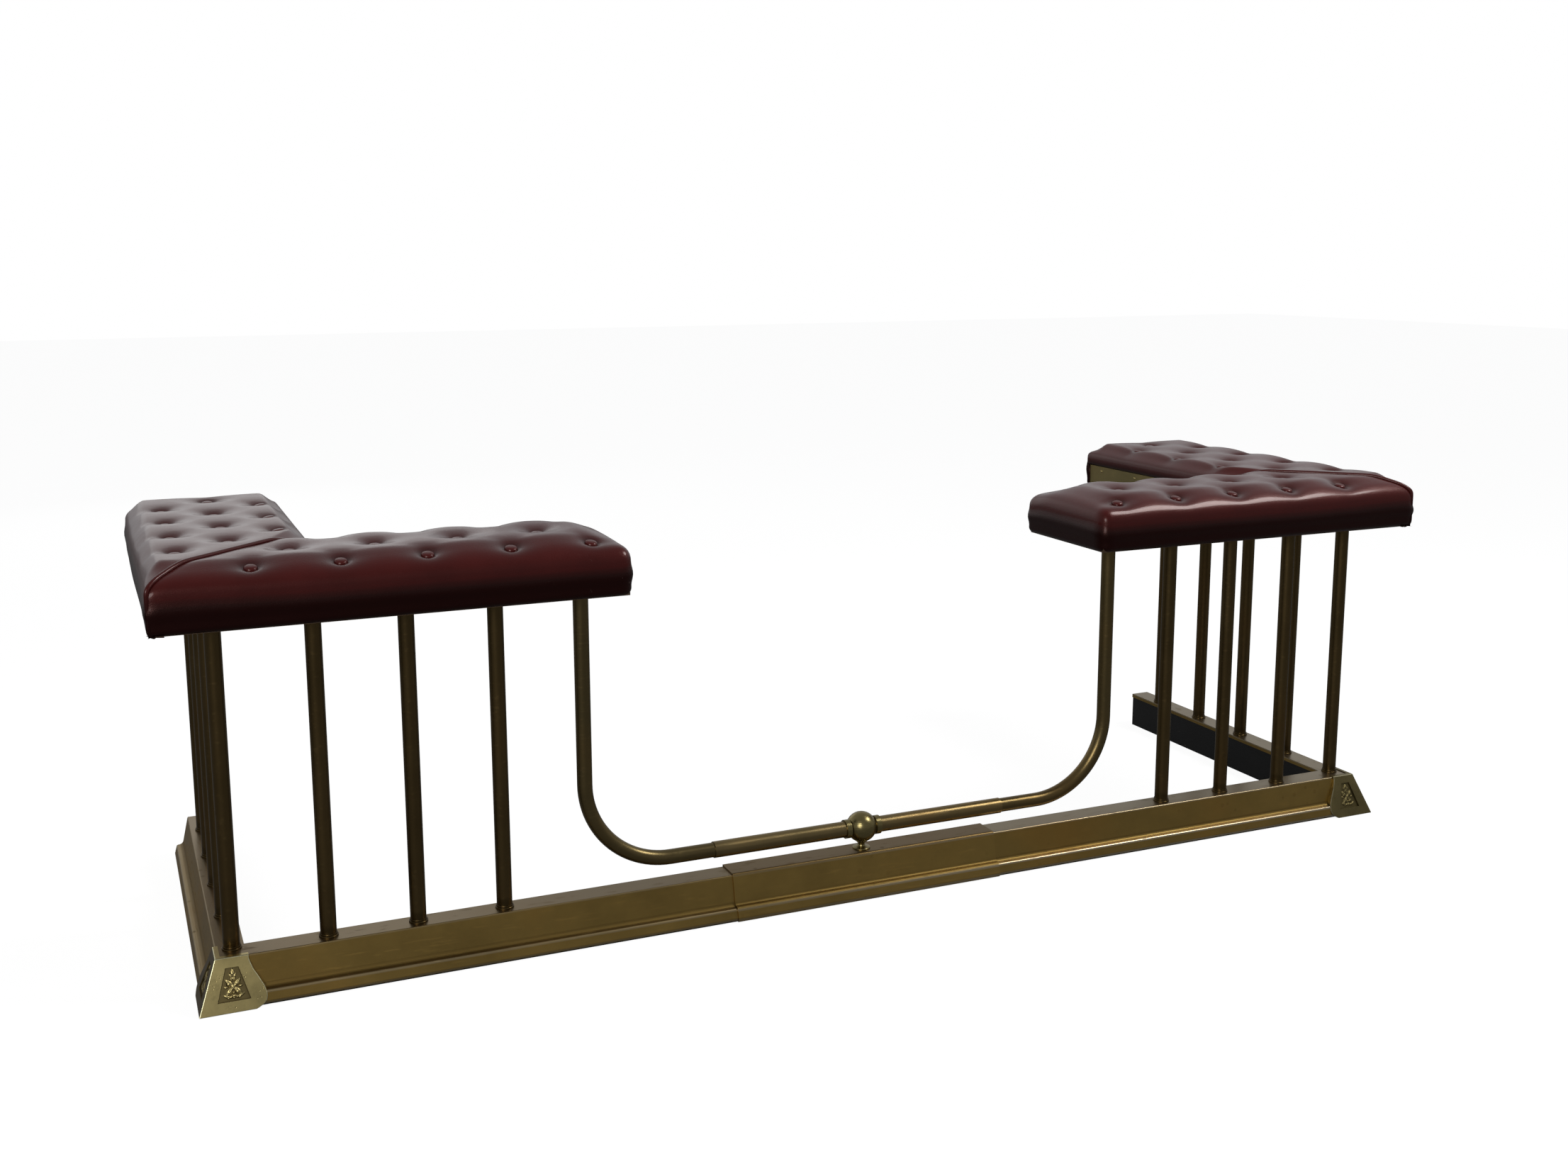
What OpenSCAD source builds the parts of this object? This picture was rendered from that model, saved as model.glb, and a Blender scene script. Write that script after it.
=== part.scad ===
// Club fender for a hearth: two L-shaped halves, each with a moulded brass kerb, brass tubes
// and a buttoned leather seat, joined by a telescopic centre kerb sleeve and rail sleeve.
// Millimetres. +X runs along the front, +Y towards the fireplace wall, +Z up.
// The origin is on the floor, at the middle of the plan.

/* [Overall plan] */
// Distance from the centre to each row of return tubes
half_w = 805; // [700:5:1000]
// Distance from the front row of tubes to the back ends of the kerb and seats
return_len = 496; // [420:2:640]
// Overhang of the seats in front of the front row of tubes
seat_over = 59; // [50:1:70]
// Overhang of the seats outside the rows of return tubes
side_over = 69; // [50:1:80]
// Set-in of each corner tube behind the front row
corner_set = 8; // [0:1:12]

/* [Kerb] */
// Height of the moulded kerb
kerb_h = 57; // [50:1:70]
// Wall of the brass moulding
brass_t = 1.4; // [1:0.1:2]
// Wall of the black steel channel behind the moulding
steel_t = 2; // [1.5:0.5:3]

/* [Tubes] */
// Outside diameter of the standing tubes and of the bent rail
tube_d = 19; // [16:1:22]
// Wall of the tubes
tube_t = 1.2; // [1:0.1:2]
// Tubes standing along each front kerb, without the corner tube
n_front = 3; // [2:1:4]
// Spacing of the front tubes and the rail's leg
front_pitch = 105; // [90:1:115]
// Tubes standing along each return kerb
n_return = 4; // [3:1:4]
// Spacing of the return tubes
return_pitch = 108; // [90:1:112]
// Distance from the front row to the first return tube
return_first = 110; // [90:1:120]

/* [Rail] */
// Height of the rail's centre line
rail_z = 88; // [80:1:110]
// Radius of the rail's bends, on the centre line
rail_r = 110; // [80:1:130]
// Outside diameter of the rail sleeve
sleeve_d = 21.2; // [20:0.1:23]
// Half of the rail sleeve's length
rail_sleeve_half = 212; // [180:1:240]
// Half of the kerb sleeve's length
kerb_sleeve_half = 193; // [170:1:220]
// Diameter of the ball
ball_d = 41; // [34:1:46]

/* [Seats] */
// Height of the seats' underside
seat_z = 444; // [400:1:480]
// Width of the seats
seat_w = 192; // [170:1:220]
// Thickness of the seat boards
board_t = 18; // [12:1:20]
// Height of the leather above the seats' underside at its rim, before the crown
rim_h = 58; // [50:1:66]
// Rise of the crown above the rim
crown_h = 19; // [12:1:26]
// Depth of each buttoned tuft
tuft_depth = 12; // [8:1:20]
// Height of the brass strip on the seats' fire side
guard_h = 37; // [30:1:48]

/* [Hidden] */
front_y = seat_over - (return_len + seat_over) / 2;   // front row of tubes
back_y = front_y + return_len;                        // back ends
seat_x = half_w + side_over;                          // outer side of the seats
seat_y = front_y - seat_over;                         // front side of the seats
leg_x = half_w - 4 - front_pitch * (n_front + 1);     // rail's leg
seat_end_x = leg_x - 51;                              // inner end of the front seats
plate_t = 3;                                          // steel plate under the seat board
plate_w = 40;
tube_top = seat_z - plate_t;
rod_d = 6;
nut_h = 5;
nut_d = 11.5;
collar_h = 5;
tongue_x = 12;       // inner end of each half's kerb and rail at rest
slide_gap = 0.25;    // clearance between kerb and kerb sleeve
rail_gap = 0.05;     // clearance between rail and rail sleeve
sleeve_t = 1.8;      // wall of the kerb sleeve
big = 2000;
eps = 0.01;
$fn = 48;

brass = [0.40, 0.32, 0.16];
brass_bright = [0.62, 0.53, 0.28];
brass_dark = [0.27, 0.21, 0.10];
steel_black = [0.06, 0.06, 0.06];
steel = [0.45, 0.45, 0.46];
leather = [0.24, 0.05, 0.06];
leather_dark = [0.16, 0.03, 0.04];
plywood = [0.62, 0.48, 0.30];

SIDES = ["left", "right"];

// ---------- helpers ----------

// Points of an arc from angle a0 to a1
function arc(c, r, a0, a1, n = 5) =
    [for (i = [0:n]) let (a = a0 + (a1 - a0) * i / n) [c[0] + r * cos(a), c[1] + r * sin(a)]];

// The right half is the left half mirrored
module on_side(side) {
    if (side == "left") children();
    else mirror([1, 0, 0]) children();
}

// Turns a front-kerb shape, along -X from the corner, into the return-kerb shape along +Y
module as_return() {
    translate([-half_w, front_y, 0]) rotate([0, 0, 90]) mirror([0, 1, 0])
        translate([half_w, -front_y, 0]) children();
}

// Plan positions of a half's tubes
function front_tube_x(i) = -half_w + 4 + front_pitch * i;
function return_tube_y(i) = front_y + return_first + return_pitch * (i - 1);
corner_tube = [-half_w + 1, front_y + corner_set];
function tube_places() = concat(
    [corner_tube],
    [for (i = [1:n_front]) [front_tube_x(i), front_y]],
    [for (i = [1:n_return]) [-half_w, return_tube_y(i)]]);

// ---------- kerb moulding ----------

// Section of the kerb as [outward, up], drawn at a depth t inside its face (t below 0 is outside)
slope_a = 12.7;      // outward lean of the sloping face's normal
lip_a = 15;          // and of the foot band's normal
kerb_back = -15;     // fire side of the brass top
foot_stop = 20;      // the moulding's foot stops this far in from the tube row
foot_stop_h = 22.9;  // and is missing up to this height
function kerb_face(t, foot_a) = concat(
    arc([16.5, kerb_h - 1.5], max(1.5 - t, 0.1), 90, slope_a),
    arc([31.28, 24], 6 + t, 180 + slope_a, 270),
    arc([32, 15], 3 - t, 90, lip_a),
    arc([34.03, 5.5], 3.5 - t, lip_a, foot_a));

function kerb_shell_section(t_out, t_in, foot_a, lip) = concat(
    [[kerb_back + t_out, kerb_h - lip], [kerb_back + t_out, kerb_h - t_out]],
    kerb_face(t_out, foot_a),
    [for (i = [len(kerb_face(t_in, foot_a)) - 1:-1:0]) kerb_face(t_in, foot_a)[i]],
    [[kerb_back + t_in, kerb_h - t_in], [kerb_back + t_in, kerb_h - lip]]);

// A section [outward, up] run along the front from x0 to x1; outward is -Y
module run_front(points, x0, x1) {
    translate([x0, front_y, 0]) rotate([90, 0, 90]) linear_extrude(x1 - x0)
        polygon([for (p = points) [-p[0], p[1]]]);
}

// Everything on the front side of the corner's mitre plane
module mitred() {
    intersection() {
        children();
        translate([-half_w, front_y, -10]) rotate([0, 0, 45]) translate([-big, -2 * big, 0])
            cube([2 * big, 2 * big, 2 * big]);
    }
}

module front_kerb_shape(points) mitred() run_front(points, -half_w - 60, -tongue_x);
module return_kerb_shape(points)
    as_return() mitred() run_front(points, -half_w - 60, -half_w + return_len);

module rod_holes(places, d) {
    for (p = places) translate([p[0], p[1], kerb_h - 8]) cylinder(h = 12, d = d);
}

// The moulding's foot stops short of the corner, where the casting is thick
module foot_cut() {
    translate([-half_w - 80, front_y - 80, -1]) cube([80 + foot_stop, 80 - 20, 1 + foot_stop_h]);
}

module front_kerb() {
    color(brass) difference() {
        front_kerb_shape(kerb_shell_section(0, brass_t, -90, 6));
        rod_holes(tube_places(), rod_d + 0.4);
        foot_cut();
    }
}

module return_kerb() {
    color(brass) difference() {
        return_kerb_shape(kerb_shell_section(0, brass_t, -90, 6));
        rod_holes(tube_places(), rod_d + 0.4);
        as_return() foot_cut();
    }
}

// Black steel channel: web on the fire side, top flange under the brass, foot flange on the floor
function channel_section() =
    let (b = kerb_back + brass_t + 0.1, top = kerb_h - brass_t - 0.1)
    [[b, 0], [33, 0], [33, steel_t - 0.1], [b + steel_t, steel_t - 0.1], [b + steel_t, top - steel_t],
     [14, top - steel_t], [14, top], [b, top]];

module front_channel() {
    color(steel_black) difference() {
        front_kerb_shape(channel_section());
        rod_holes(tube_places(), rod_d + 0.4);
    }
}

module return_channel() {
    color(steel_black) difference() {
        return_kerb_shape(channel_section());
        rod_holes(tube_places(), rod_d + 0.4);
    }
}

// ---------- corner casting ----------

cast_top = 20;       // outward reach of the casting at its top
cast_foot = 41.5;    // and at the floor
cast_h = kerb_h + 1.2;
cast_lean = atan((cast_foot - cast_top) / cast_h);
cast_in = 17;        // how far the face runs in from the tube row at the top

// The sloping front half-space, as a cutter that removes what lies outside the casting's face
module cast_face_cut() {
    translate([-half_w - 300, front_y - cast_foot, 0]) rotate([-cast_lean, 0, 0])
        translate([0, -200, -50]) cube([700, 200, 200]);
}

// Plan-front outline of the casting's inner end, which flares at the foot like the moulding
module cast_end_cut() {
    flare = [[cast_in, cast_h + 5], [cast_in, 54], [cast_in + 1.5, 49], [cast_in + 4.2, 42],
             [cast_in + 9.8, 32.5], [cast_in + 14.8, 23], [cast_in + 16.8, 16], [cast_in + 17, 12],
             [cast_in + 15.8, 7.5], [cast_in + 12, 3.8], [cast_in + 7, 1.2], [cast_in + 4, 0], [cast_in + 4, -5],
             [cast_in + 200, -5], [cast_in + 200, cast_h + 5]];
    translate([-half_w, front_y + 10, 0]) rotate([90, 0, 0]) linear_extrude(120) polygon(flare);
}

// Trapezoid panel sunk into a face, with a foliate relief standing in it
module cast_panel(depth) {
    translate([-half_w + 1, front_y - cast_foot, 0]) rotate([-cast_lean, 0, 0]) rotate([90, 0, 0])
        translate([0, 0, -depth]) linear_extrude(depth + 5)
            polygon([[-21.5, 13], [15, 13], [4, 50.5], [-10.5, 50.5]]);
}

module cast_relief() {
    bud = [[-3.2, 44, 3.2], [-3.2, 38.5, 2.4]];
    leaves = [for (k = [0:3]) let (a = 45 + 90 * k) [-3.2 + 6.5 * cos(a), 28 + 6.5 * sin(a), 3.4]];
    berries = [for (k = [-1:1]) [-3.2 + 6 * k, 17, 1.9]];
    translate([-half_w + 1, front_y - cast_foot, 0]) rotate([-cast_lean, 0, 0]) rotate([90, 0, 0])
        for (b = concat(bud, leaves, berries, [[-3.2, 28, 2.6]]))
            intersection() {
                translate([b[0], b[1], -2.1 - b[2] * 0.35]) sphere(r = b[2], $fn = 16);
                translate([b[0] - 9, b[1] - 9, -2.4]) cube([18, 18, 5]);
            }
}

// One leg of the casting: the slab over the front moulding, from the mitre to the flared end
module cast_leg() {
    difference() {
        mitred() intersection() {
            difference() {
                translate([-half_w - 80, front_y - 80, 0]) cube([140, 80 - 14, cast_h]);
                cast_face_cut();
            }
            union() {
                run_front(concat([[-20, kerb_h + 0.1]], kerb_face(-0.25, -90), [[34, 0], [90, 0],
                    [90, cast_h + 5], [-20, cast_h + 5]]), -half_w - 80, -half_w + 80);
                run_front([[cast_foot - 4.3 - 22.6 * tan(cast_lean), 22.6], [cast_foot - 4.3, 0], [90, 0],
                    [90, 22.6]], -half_w - 80, -half_w + foot_stop - 0.3);
            }
        }
        cast_end_cut();
        cast_panel(2);
    }
    mitred() cast_relief();
}

module corner_casting() {
    color(brass_bright) {
        cast_leg();
        as_return() cast_leg();
    }
}

// Countersunk screws from inside the kerb, two in each leg, holding the casting on
module casting_screws() {
    color(steel) for (leg = [0, 1]) {
        if (leg == 0) casting_screw();
        else as_return() casting_screw();
    }
}
module casting_screw() {
    translate([-half_w + 6, front_y - 19.5, 40]) rotate([90, 0, 0]) {
        cylinder(h = 4.4, d = 3);
        translate([0, 0, -2]) cylinder(h = 2, d = 6);
    }
}

// ---------- tubes ----------

module tube(place) {
    color(brass_dark) translate([place[0], place[1], kerb_h]) difference() {
        cylinder(h = tube_top - kerb_h, d = tube_d);
        translate([0, 0, -1]) cylinder(h = tube_top - kerb_h + 2, d = tube_d - 2 * tube_t);
    }
}

// Turned ring round each tube's foot
module tube_collars() {
    r = tube_d / 2;
    ring = concat([[r + 0.05, 0], [r + 1.9, 0]], arc([r + 0.9, 1.2], 1, 0, 90, 3), [[r + 0.8, collar_h - 1]],
        arc([r + 0.3, collar_h - 1], 0.5, 0, 90, 2), [[r + 0.05, collar_h - 0.5]]);
    color(brass) for (p = tube_places())
        translate([p[0], p[1], kerb_h]) rotate_extrude() polygon(ring);
}

// Steel rods inside the tubes that clamp kerb, tubes and seat plate together
module tie_rods() {
    foot = kerb_h - brass_t - steel_t - nut_h - 3;
    color(steel) for (p = tube_places()) translate([p[0], p[1], foot]) cylinder(h = seat_z - foot, d = rod_d);
}
module rod_nuts() {
    top = kerb_h - brass_t - 0.1 - steel_t;
    color(steel) for (p = tube_places()) translate([p[0], p[1], top - nut_h]) difference() {
        cylinder(h = nut_h, d = nut_d, $fn = 6);
        translate([0, 0, -1]) cylinder(h = nut_h + 2, d = rod_d);
    }
}

// ---------- rail ----------

// Tube from the seat down, round the bend and along into the rail sleeve
module rail_bend() {
    color(brass_dark) difference() {
        rail_solid(tube_d, 0);
        rail_solid(tube_d - 2 * tube_t, 1);
    }
}
module rail_solid(d, over) {
    translate([-leg_x, front_y, rail_z + rail_r]) cylinder(h = tube_top - rail_z - rail_r + over, d = d);
    translate([-leg_x + rail_r, front_y, rail_z + rail_r]) rotate([90, 0, 0]) rotate([0, 0, 180])
        rotate_extrude(angle = 90) translate([rail_r, 0]) circle(d = d);
    translate([-leg_x + rail_r, front_y, rail_z]) rotate([0, 90, 0])
        cylinder(h = leg_x - rail_r - tongue_x + over, d = d);
}

module centre_rail_sleeve() {
    color(brass) translate([-rail_sleeve_half, front_y, rail_z]) rotate([0, 90, 0]) difference() {
        cylinder(h = 2 * rail_sleeve_half, d = sleeve_d);
        translate([0, 0, -1]) cylinder(h = 2 * rail_sleeve_half + 2, d = tube_d + 2 * rail_gap);
    }
}

// Ball, waisted stem and foot flange in one casting, bored for the rail sleeve
module rail_ball() {
    r = ball_d / 2;
    top = kerb_h + sleeve_t + slide_gap;
    c = rail_z + 0.5 - top;
    stem = concat([[0, 0], [12, 0]], arc([11.2, 1], 0.8, 0, 90, 3), [[8, 2.4], [5.2, 3.4], [4.4, 5], [4.9, 7], [7.4, 9.6]],
        arc([0, c], r, -52, 90, 24));
    color(brass_bright) difference() {
        union() {
            translate([0, front_y, top]) rotate_extrude() polygon(stem);
            for (s = [-1, 1]) translate([s * r * 0.9, front_y, rail_z]) rotate([0, 90 * s, 0]) cylinder(h = 7, d = 25);
            translate([0, front_y, top - 4.5]) cylinder(h = 5, d = 6);
        }
        translate([-50, front_y, rail_z]) rotate([0, 90, 0]) cylinder(h = 100, d = sleeve_d + 0.02);
    }
}

// Thin nut on the ball's stud, inside the kerb sleeve
module ball_nut() {
    color(steel) translate([0, front_y, kerb_h + slide_gap - 2.6]) difference() {
        cylinder(h = 2.6, d = nut_d, $fn = 6);
        translate([0, 0, -1]) cylinder(h = 5, d = 6);
    }
}

// Brass cover that both half kerbs slide in
module centre_kerb_sleeve() {
    section = kerb_shell_section(-slide_gap - sleeve_t, -slide_gap, -60, 9);
    color(brass) difference() {
        run_front(section, -kerb_sleeve_half, kerb_sleeve_half);
        translate([0, front_y, kerb_h - 3]) cylinder(h = 10, d = 6);
    }
}

// ---------- seats ----------

// Plan of one leg of an L seat: from the mitre to its end, set in by "inset" all round but the mitre
function leg_plan(len_out, inset) =
    [[-seat_x + inset, seat_y + inset], [-seat_x + len_out - inset, seat_y + inset],
     [-seat_x + len_out - inset, seat_y + seat_w - inset], [-seat_x + seat_w - inset, seat_y + seat_w - inset]];
front_len = seat_x - seat_end_x;
return_run = back_y - seat_y;

// L plan made of both legs
module seat_plan(inset) {
    polygon([[-seat_x + inset, seat_y + inset], [-seat_end_x - inset, seat_y + inset],
        [-seat_end_x - inset, seat_y + seat_w - inset], [-seat_x + seat_w - inset, seat_y + seat_w - inset],
        [-seat_x + seat_w - inset, back_y - inset], [-seat_x + inset, back_y - inset]]);
}

board_inset = 5;
module seat_board() {
    color(plywood) difference() {
        translate([0, 0, seat_z]) linear_extrude(board_t) seat_plan(board_inset);
        for (p = tube_places()) translate([p[0], p[1], seat_z - 1]) cylinder(h = 4, d = rod_d + 2);
    }
}

module seat_plate() {
    w = plate_w / 2;
    color(steel_black) translate([0, 0, seat_z - plate_t]) difference() {
        linear_extrude(plate_t) polygon([[-half_w - w, front_y - w], [-seat_end_x - 22, front_y - w],
            [-seat_end_x - 22, front_y + w], [-half_w + w, front_y + w],
            [-half_w + w, back_y - 25], [-half_w - w, back_y - 25]]);
        for (p = tube_places()) translate([p[0], p[1], -1]) cylinder(h = plate_t + 2, d = rod_d);
        for (p = seat_screw_places()) translate([p[0], p[1], -1]) cylinder(h = plate_t + 2, d = 4.4);
    }
}

function seat_screw_places() = concat(
    [for (i = [0:n_front - 1]) [front_tube_x(i) + front_pitch / 2 + 6, front_y]],
    [for (i = [1:n_return - 1]) [-half_w, return_tube_y(i) + return_pitch / 2]]);

module seat_screws() {
    color(steel) for (p = seat_screw_places()) translate([p[0], p[1], seat_z - plate_t]) {
        cylinder(h = plate_t + 13, d = 4);
        translate([0, 0, -1.8]) cylinder(h = 1.8, d1 = 6, d2 = 8);
    }
}

// Button rows across a seat, from its outer side, and the spacing along it
front_rows = [32, 98, 160];
return_rows = [39, 101, 164];
front_button_pitch = 97;
return_button_pitch = 108;
// Buttons of a leg as [along, across], measured from the outer corner
function leg_buttons(pitch, first, len_out, rows) = [for (r = [0:2]) each
    [for (k = [0:9]) let (a = first + pitch * k + (r == 1 ? pitch / 2 : 0))
        if (a < len_out - 32 && a > rows[r] + 38) [a, rows[r]]]];
front_buttons = leg_buttons(front_button_pitch, 112, front_len, front_rows);
return_buttons = leg_buttons(return_button_pitch, 128, return_run, return_rows);

// Height of the leather over a leg at [along, across]
function rounded(d, r) = d >= r ? 0 : sqrt(max(0, r * r - (r - d) * (r - d))) - r;
function smooth(x) = let (c = min(1, max(0, x))) c * c * (3 - 2 * c);
function tuft(a, c, buttons) =
    -tuft_depth * min(1.15, max([for (b = buttons) let (d = norm([a - b[0], c - b[1]])) exp(-pow(d / 19, 1.5))])
        + 0.12 * sum([for (b = buttons) exp(-pow(norm([a - b[0], c - b[1]]) / 34, 2))]));
function sum(v, i = 0) = i >= len(v) ? 0 : v[i] + sum(v, i + 1);
function pad_height(a, c, len_out, buttons) =
    let (edge = min(c, seat_w - c), end = len_out - a, mitre = (a - c) / sqrt(2),
         rise = crown_h * smooth(edge / 62) * smooth(end / 62))
    max(guard_h + 2.6, rim_h + rise + rounded(edge, edge_r) + rounded(end, edge_r) + rounded(mitre, 5) * 0.9
        + tuft(a, c, buttons));

// Grid lines, closer together where the leather turns over its edges
edge_r = 15;
across_lines = concat([0, 1.2, 4, 8.5, edge_r], [for (i = [1:9]) edge_r + (seat_w - 2 * edge_r) * i / 10],
    [seat_w - edge_r, seat_w - 8.5, seat_w - 4, seat_w - 1.2, seat_w]);
function along_shares(n) = concat([0, 0.008, 0.02], [for (i = [1:n - 1]) 0.02 + 0.925 * i / n],
    [0.945, 0.965, 0.982, 0.994, 1]);

// One leg's pad as a closed form: tufted top, upright sides with a rebate for the guard strip
// on the fire side, flat base on the board and a mitred end
module leather_pad(len_out, buttons, n_along) {
    shares = along_shares(n_along);
    na = len(shares);
    nc = len(across_lines);
    function plan(s, c) = s == 0 && c == 0 ? [blunt, blunt] : [c + (len_out - c) * s, c];
    top = [for (s = shares) for (c = across_lines)
        let (p = plan(s, c)) [p[0], p[1], pad_height(p[0], p[1], len_out, buttons)]];
    function id(i, j) = i * nc + j;
    ring = concat([for (j = [0:nc - 1]) [0, j]], [for (i = [1:na - 1]) [i, nc - 1]],
        [for (j = [nc - 2:-1:0]) [na - 1, j]], [for (i = [na - 2:-1:1]) [i, 0]]);
    nr = len(ring);
    nt = len(top);
    // rim points at a height, with the fire side drawn in
    function rim(z, inset) = [for (p = ring)
        let (q = plan(shares[p[0]], across_lines[p[1]] * (1 - inset / seat_w))) [q[0], q[1], z]];
    points = concat(top, rim(guard_h + 1.4, 0), rim(guard_h + 0.3, guard_t + 0.2), rim(base_z, guard_t + 0.2),
        [[len_out / 2 + 30, seat_w / 2, base_z]]);
    function low(band, k) = band < 0 ? id(ring[k % nr][0], ring[k % nr][1]) : nt + band * nr + k % nr;
    faces = concat(
        [for (i = [0:na - 2]) for (j = [0:nc - 2]) each
            [[id(i, j), id(i + 1, j), id(i + 1, j + 1)], [id(i, j), id(i + 1, j + 1), id(i, j + 1)]]],
        [for (b = [-1:1]) for (k = [0:nr - 1]) each
            [[low(b, k), low(b, k + 1), low(b + 1, k + 1)], [low(b, k), low(b + 1, k + 1), low(b + 1, k)]]],
        [for (k = [0:nr - 1]) [low(2, k), low(2, k + 1), len(points) - 1]]);
    translate([-seat_x, seat_y, seat_z]) polyhedron(points = points, faces = outward(faces), convexity = 4);
}
function outward(faces) = [for (f = faces) [for (i = [len(f) - 1:-1:0]) f[i]]];
base_z = board_t + 0.2;
blunt = 0.9;         // how far the pads' outer corner is drawn in

module front_cushion() {
    color(leather) leather_pad(front_len, front_buttons, 32);
}

// The return's pad is laid out like the front's and turned about the corner's diagonal
module about_diagonal() {
    translate([-seat_x, seat_y, 0]) rotate([0, 0, 90]) mirror([0, 1, 0]) translate([seat_x, -seat_y, 0]) children();
}
module return_cushion() {
    color(leather) about_diagonal() leather_pad(return_run, return_buttons, 34);
}

// Leather drawn down round the edge of the board, below the pads
module seat_border() {
    x = -seat_x + seat_w - guard_t - 0.2;
    y = seat_y + seat_w - guard_t - 0.2;
    color(leather) translate([0, 0, seat_z]) linear_extrude(base_z) difference() {
        polygon([[-seat_x, seat_y], [-seat_end_x, seat_y], [-seat_end_x, y], [x, y], [x, back_y], [-seat_x, back_y]]);
        seat_plan(board_inset - 0.1);
    }
}

// Leather-covered buttons drawn down into the tufts
module button(a, c, len_out, buttons) {
    translate([-seat_x + a, seat_y + c, seat_z + pad_height(a, c, len_out, buttons)]) {
        rotate_extrude($fn = 24) polygon(concat([[0, -1]], [[8, -1]], arc([0, -7.5], 11, 41, 90, 5)));
        translate([0, 0, -14]) cylinder(h = 14, d = 3, $fn = 12);
    }
}
module seat_buttons() {
    color(leather_dark) {
        for (b = front_buttons) button(b[0], b[1], front_len, front_buttons);
        about_diagonal() for (b = return_buttons) button(b[0], b[1], return_run, return_buttons);
    }
}

// Piping cord over the mitre: up the outer corner, across the top and down to the guard strip
pipe_r = 3;
function mitre_height(t) = pad_height(t, t, front_len, [[big, big]]);
function piping_route() = concat(
    [for (z = [2, 12, 22, 31]) [pipe_r, pipe_r, z]],
    [for (t = [3.4, 5, 8, 13, 19, 27, 37, 49, 62, 76, 90, 104, 118, 132, 144, 154, 163, 170, 176, 181, 184.5, 186.8])
        [t, t, mitre_height(t) + 3]],
    [[seat_w, seat_w, guard_h + 3]]);
module sweep(route, r, n = 8) {
    m = len(route);
    function unit(v) = v / norm(v);
    function tangent(i) = unit(route[min(m - 1, i + 1)] - route[max(0, i - 1)]);
    side = unit([1, -1, 0]);
    rings = [for (i = [0:m - 1]) let (t = tangent(i), u = unit(cross(side, t)))
        for (k = [0:n - 1]) route[i] + r * (cos(360 * k / n) * side + sin(360 * k / n) * u)];
    faces = concat(
        [[for (k = [0:n - 1]) k]],
        [for (i = [0:m - 2]) for (k = [0:n - 1]) let (l = (k + 1) % n) each
            [[i * n + k, (i + 1) * n + k, (i + 1) * n + l], [i * n + k, (i + 1) * n + l, i * n + l]]],
        [[for (k = [n - 1:-1:0]) (m - 1) * n + k]]);
    polyhedron(points = rings, faces = outward(faces), convexity = 6);
}
module seat_piping() {
    color(leather_dark) translate([-seat_x, seat_y, seat_z]) sweep(piping_route(), pipe_r);
}

// Brass strip along the fire side of the seats, below the leather
guard_t = 1.5;
guard_stop = 14;     // it stops this far short of the front seat's inner end
module guard_solid(t, h, below) {
    x = -seat_x + seat_w;
    y = seat_y + seat_w;
    translate([0, 0, seat_z - below]) linear_extrude(h + below) polygon([[-seat_end_x - guard_stop, y],
        [x, y], [x, back_y], [x - t, back_y], [x - t, y - t], [-seat_end_x - guard_stop, y - t]]);
}
module guard_strip() {
    color(brass) difference() {
        guard_solid(guard_t, guard_h, 0);
        for (p = guard_pin_places()) translate([p[0], p[1], seat_z + p[2]]) rotate(p[3]) cylinder(h = 8, d = 2, center = true);
    }
}
// Pins as [x, y, height, turn]
function guard_pin_places() = [for (h = [8, guard_h - 8]) each concat(
    [for (x = [-seat_end_x - 26:-140:-seat_x + seat_w + 40]) [x, seat_y + seat_w, h, [-90, 0, 0]]],
    [for (y = [seat_y + seat_w + 40:95:back_y - 15]) [-seat_x + seat_w, y, h, [0, 90, 0]]])];
module guard_pins() {
    color(brass_bright) for (p = guard_pin_places()) translate([p[0], p[1], seat_z + p[2]]) rotate(p[3]) {
        translate([0, 0, -7]) cylinder(h = 7, d = 2);
        intersection() {
            translate([0, 0, -1.5]) sphere(r = 2.9, $fn = 16);
            cylinder(h = 3, d = 6);
        }
    }
}

// ---------- nodes ----------

centre_kerb_sleeve();
centre_rail_sleeve();
rail_ball();
ball_nut();
for (side = SIDES) {
    on_side(side) front_kerb();
    on_side(side) return_kerb();
    on_side(side) front_channel();
    on_side(side) return_channel();
    on_side(side) corner_casting();
    on_side(side) casting_screws();
    on_side(side) tube(corner_tube);
    for (i = [1:n_front])
        on_side(side) tube([front_tube_x(i), front_y]);
    for (i = [1:n_return])
        on_side(side) tube([-half_w, return_tube_y(i)]);
    on_side(side) tube_collars();
    on_side(side) tie_rods();
    on_side(side) rod_nuts();
    on_side(side) rail_bend();
    on_side(side) seat_plate();
    on_side(side) seat_board();
    on_side(side) seat_border();
    on_side(side) front_cushion();
    on_side(side) return_cushion();
    on_side(side) seat_piping();
    on_side(side) seat_buttons();
    on_side(side) guard_strip();
    on_side(side) guard_pins();
    on_side(side) seat_screws();
}
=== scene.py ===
"""Dresses a club fender's CAD model with its leather, brass and steel, ready to render."""

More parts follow.
